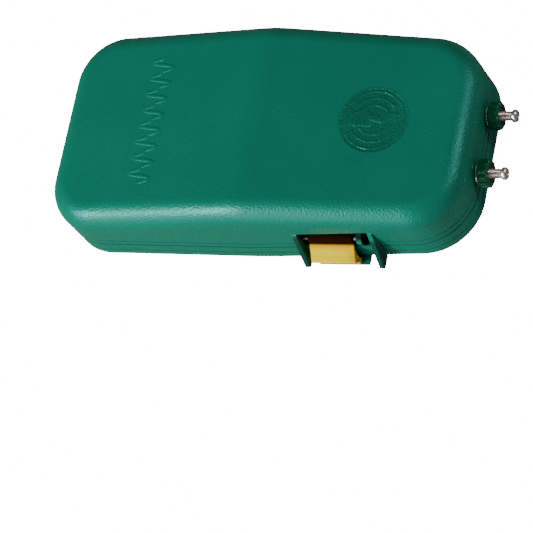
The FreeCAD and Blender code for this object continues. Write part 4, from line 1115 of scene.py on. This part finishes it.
def laminated(name, colour, rust, sheet=0.5):
    """Stacked sheets: a wave across the sheets makes the joints dark and sunk."""
    made = metal(name, colour, rust, roughness=0.45, grain=300.0, depth=0.00002, wear=0.7,
                 metallic=0.8)
    tree, shader, place = opened(made)
    height = node(tree, "ShaderNodeSeparateXYZ", {0: place}).outputs["Z"]
    turns = calc(tree, "MULTIPLY", height, 2 * math.pi / (sheet * MM))
    wave = calc(tree, "SINE", turns)
    joint = stretched(tree, wave, -1.0, -0.6, 1.0, 0.0)
    colour_in = shader.inputs["Base Color"].links[0].from_socket
    tree.links.new(mixed(tree, joint, colour_in, (0.01, 0.008, 0.006, 1.0)),
                   shader.inputs["Base Color"])
    sunk = node(tree, "ShaderNodeBump", {"Height": joint, "Distance": 0.0001, "Strength": 0.8},
                invert=True)
    tree.links.new(shader.inputs["Normal"].links[0].from_socket, sunk.inputs["Normal"])
    tree.links.new(sunk.outputs["Normal"], shader.inputs["Normal"])
    return made


core_iron = laminated("core_iron", (0.20, 0.20, 0.21), (0.10, 0.05, 0.03))
ferrite = plastic("ferrite", (0.03, 0.03, 0.032), (0.05, 0.05, 0.05), roughness=0.5, pebbles=1400.0,
                  depth=0.00004, strength=0.5, wear=0.5)
inverter_copper = metal("inverter_copper", (0.60, 0.19, 0.06), (0.35, 0.10, 0.03), roughness=0.32,
                        across=(0.1, 0.1, 8.0), depth=0.0001)
paint(core_iron, "pulse_core")
paint(ferrite, "inverter_core")
paint(inverter_copper, "inverter_winding")

# %% Chip, thyristor, heat sink and switch
LEG_TIN = (0.60, 0.60, 0.61)
chip_black = two_part(
    plastic("chip_black", (0.012, 0.012, 0.013), (0.03, 0.03, 0.03), roughness=0.5,
            pebbles=1800.0, depth=0.00003, strength=0.5, wear=0.3),
    [((70, 2, 24), (86, 4.35, 29)), ((70, 10.85, 24), (86, 13, 29))], LEG_TIN)
thyristor_black = two_part(
    plastic("thyristor_black", (0.012, 0.012, 0.013), (0.03, 0.03, 0.03), roughness=0.5,
            pebbles=1800.0, depth=0.00003, strength=0.5, wear=0.3),
    [((88, -1, 8), (93, 11, 13.95)), ((88, -1, 23.05), (93, 11, 29))], LEG_TIN)
sink_aluminium = metal("sink_aluminium", (0.70, 0.71, 0.73), (0.50, 0.50, 0.51), roughness=0.36,
                       grain=500.0, depth=0.00003, across=(1.0, 1.0, 0.05), wear=0.5)
switch_black = two_part(
    plastic("switch_black", (0.014, 0.014, 0.015), (0.03, 0.03, 0.03), roughness=0.42,
            pebbles=1600.0, depth=0.00003, strength=0.4, wear=0.4),
    [((90, 16, 20), (100, 32, 24.0))], (0.62, 0.62, 0.63))
slider_white = plastic("slider_white", (0.70, 0.69, 0.64), (0.60, 0.58, 0.50), roughness=0.4,
                       pebbles=1600.0, depth=0.00003, strength=0.3, wear=0.5, subsurface=0.1)
paint(chip_black, "control_chip")
paint(thyristor_black, "thyristor")
paint(sink_aluminium, "heat_sink")
paint(switch_black, "switch_body")
paint(slider_white, "switch_slider")


# %% Board finish
def build_board_finish():
    """Solder mask over glass cloth: two fine waves cross as the weave, and the edges stay bare."""
    made = plastic("board_green", (0.006, 0.085, 0.028), (0.01, 0.11, 0.04), roughness=0.28,
                   pebbles=700.0, depth=0.00002, strength=0.3, wear=0.6, swing=0.12)
    tree, shader, place = opened(made)
    weave = [node(tree, "ShaderNodeTexWave", {"Vector": place, "Scale": 320.0, "Distortion": 0.6},
                  bands_direction=axis) for axis in ("X", "Y")]
    cloth = calc(tree, "MULTIPLY", weave[0].outputs["Fac"], weave[1].outputs["Fac"])
    bump = node(tree, "ShaderNodeBump", {
        "Height": cloth, "Distance": 0.00002, "Strength": 0.4})
    tree.links.new(shader.inputs["Normal"].links[0].from_socket, bump.inputs["Normal"])
    tree.links.new(bump.outputs["Normal"], shader.inputs["Normal"])
    low, high = place_of("circuit_board")
    core = inside_box(tree, place, low + (0.1, 0.1, -5), high - (0.1, 0.1, -5), soft=0.00005)
    green = shader.inputs["Base Color"].links[0].from_socket
    tree.links.new(mixed(tree, core, (0.36, 0.33, 0.14, 1.0), green), shader.inputs["Base Color"])
    return made


board_green = build_board_finish()
paint(board_green, "circuit_board")

# %% [markdown]
# ## Painted shade in the pocket, on the ears and on the lever
#
# The pocket round the latch is painted black and the two ears beside it near black green, as
# painted shade, while the open faces keep the plain case colour. The pocket's mask is 1 deep in
# the pocket and fades at its mouth. The lever's hub is painted dark brown towards its pin, and an
# orange-brown band round the hub and down the lever's far end is painted shade as well.


# %% Painted shade in the pocket, on the ears and on the lever
def add_painted_shade(made, mask_of, colour, roughness=0.6):
    """Mixes painted shade over a finished material by a mask made in its own tree."""
    tree, shader, place = opened(made)
    mask = mask_of(tree, place)
    under = shader.inputs["Base Color"].links[0].from_socket
    tree.links.new(mixed(tree, mask, under, (*colour, 1.0)), shader.inputs["Base Color"])
    gloss = shader.inputs["Roughness"].links[0].from_socket
    dull = calc(tree, "MULTIPLY", mask, roughness)
    most = calc(tree, "MAXIMUM", gloss, dull)
    tree.links.new(most, shader.inputs["Roughness"])


pin_low, pin_high = place_of("latch_pin")
pin_y, pin_z = (pin_low[1] + pin_high[1]) / 2, (pin_low[2] + pin_high[2]) / 2


def depth_mask(tree, place):
    """1 inside the wall's outer face, 0 outside it."""
    depth = node(tree, "ShaderNodeSeparateXYZ", {0: place}).outputs["Y"]
    return stretched(tree, depth, -0.0556, -0.0542)


# Painted shade: black deep in the latch pocket, fading at its mouth.
def pocket_painted_shade(tree, place):
    pocket = inside_box(tree, place, (pin_low[0], -58.0, 12.9), (65.6, pin_y + 12, 27.45),
                        soft=0.0004)
    both = calc(tree, "MULTIPLY", pocket, depth_mask(tree, place))
    return both


def ear_painted_shade(tree, place):
    """Painted shade on the two ears that stand out beside the lever."""
    ears = [inside_box(tree, place, (x - 1.9, -64.0, 0.0), (x + 1.9, -55.6, 28.0), soft=0.0008)
            for x in (pin_low[0] + 0.4, 66.7)]
    both = calc(tree, "MAXIMUM", ears[0], ears[1])
    return calc(tree, "MULTIPLY", both, 0.9)


# Painted shade: the lever's hub turns dark brown towards its pin.
def hub_painted_shade(tree, place):
    centre = (0.0, pin_y * MM, pin_z * MM)
    flat = node(tree, "ShaderNodeVectorMath", {0: place, 1: (0.0, 1.0, 1.0)}, operation="MULTIPLY")
    away = node(tree, "ShaderNodeVectorMath", {0: flat.outputs[0], 1: centre},
                operation="DISTANCE")
    return stretched(tree, away.outputs["Value"], 0.0029, 0.0040, 1.0, 0.0)


def lever_painted_shade(tree, place):
    """A band of painted shade just outside the hub's, also down the lever's far end."""
    centre = (0.0, pin_y * MM, pin_z * MM)
    flat = node(tree, "ShaderNodeVectorMath", {0: place, 1: (0.0, 1.0, 1.0)}, operation="MULTIPLY")
    away = node(tree, "ShaderNodeVectorMath", {0: flat.outputs[0], 1: centre},
                operation="DISTANCE")
    band = stretched(tree, away.outputs["Value"], 0.0038, 0.0064, 0.8, 0.0)
    along = node(tree, "ShaderNodeSeparateXYZ", {0: place}).outputs["X"]
    end = (latch_high[0] - 5.0) * MM, latch_high[0] * MM
    far_end = stretched(tree, along, *end, 0.0, 0.55)
    both = calc(tree, "MAXIMUM", band, far_end)
    return both


# The front case is the case green with painted shade on its ears and in its latch pocket.
case_front_shaded_green = plastic("case_front_shaded_green", CASE_GREEN, CASE_RUBBED, **CASE_FINISH)
# Painted shade, near black green, on the two ears.
add_painted_shade(case_front_shaded_green, ear_painted_shade, (0.0, 0.016, 0.008), 0.5)
# Painted shade, near black, deep in the latch pocket.
add_painted_shade(case_front_shaded_green, pocket_painted_shade, (0.0006, 0.002, 0.0015), 0.9)
paint(case_front_shaded_green, "front_case")
# Painted shade, orange-brown, round the hub and down the lever's far end.
add_painted_shade(latch_yellow, lever_painted_shade, (0.42, 0.17, 0.0), 0.7)
# Painted shade, dark brown, on the lever's hub.
add_painted_shade(latch_yellow, hub_painted_shade, (0.010, 0.003, 0.001), 0.95)

# %% [markdown]
# ## Studio
#
# A catalogue picture has a plain pale ground, one large soft light from the side that the eye
# should see first, and weaker light from everywhere else so that no face goes black.

# %% Floor and lights
FLOOR_SIZE = 6.0


def studio_light(name, place, target, size, watts):
    """A square soft light at place that looks at target."""
    data = bpy.data.lights.new(name, "AREA")
    data.shape, data.size, data.energy = "SQUARE", size, watts
    made = bpy.data.objects.new(name, data)
    away = np.array(place, float) - np.array(target, float)
    z = away / np.linalg.norm(away)
    x = np.cross((0.0, 0.0, 1.0), z)
    x = x / np.linalg.norm(x) if np.linalg.norm(x) > 1e-6 else np.array([1.0, 0.0, 0.0])
    matrix = np.eye(4)
    matrix[:3, 0], matrix[:3, 1], matrix[:3, 2] = x, np.cross(z, x), z
    matrix[:3, 3] = place
    made.matrix_world = Matrix(matrix.tolist())
    bpy.context.scene.collection.objects.link(made)
    return made


floor_data = bpy.data.meshes.new("studio_floor")
half = FLOOR_SIZE / 2
floor_data.from_pydata([(-half, -half, 0), (half, -half, 0), (half, half, 0), (-half, half, 0)],
                       [], [(0, 1, 2, 3)])
floor = bpy.data.objects.new("studio_floor", floor_data)
bpy.context.scene.collection.objects.link(floor)
GLOW_SEEN = 16.0
floor_paint = bpy.data.materials.new("studio_floor")
floor_paint.use_nodes = True
floor_tree = floor_paint.node_tree
floor_shader = floor_tree.nodes["Principled BSDF"]
floor_shader.inputs["Roughness"].default_value = 0.9
ray = node(floor_tree, "ShaderNodeLightPath")
tone = mixed(floor_tree, ray.outputs["Is Glossy Ray"], grey(0.85), grey(0.12))
floor_tree.links.new(tone, floor_shader.inputs["Base Color"])
glow = calc(floor_tree, "MULTIPLY", ray.outputs["Is Camera Ray"], GLOW_SEEN)
floor_tree.links.new(glow, floor_shader.inputs["Emission Strength"])
floor_shader.inputs["Emission Color"].default_value = grey(1.0)
floor_data.materials.append(floor_paint)

WORLD_LIGHT, WORLD_MIRRORED = 0.16, 0.12
world = bpy.data.worlds.new("studio_air")
world.use_nodes = True
air = world.node_tree
world_ray = node(air, "ShaderNodeLightPath")
strength = stretched(air, world_ray.outputs["Is Glossy Ray"], 0.0, 1.0, WORLD_LIGHT, WORLD_MIRRORED)
seen = calc(air, "MULTIPLY_ADD", world_ray.outputs["Is Camera Ray"], GLOW_SEEN, strength)
air.links.new(seen, air.nodes["Background"].inputs["Strength"])
air.nodes["Background"].inputs["Color"].default_value = grey(1.0)
bpy.context.scene.world = world
LIGHTS = [                                  # name, place, target, size in metres, watts
    ("key_softbox", (-1.02, -1.04, 1.07), (0, 0, 0.02), 0.32, 57.0),
    ("front_fill", (-0.5, -1.9, 0.5), (0, 0, 0.0), 1.2, 25.0),
    ("end_streak", (1.19, 0.72, 1.13), (0.1, 0, 0.03), 0.3, 14.0),
]
for light in LIGHTS:
    studio_light(*light)
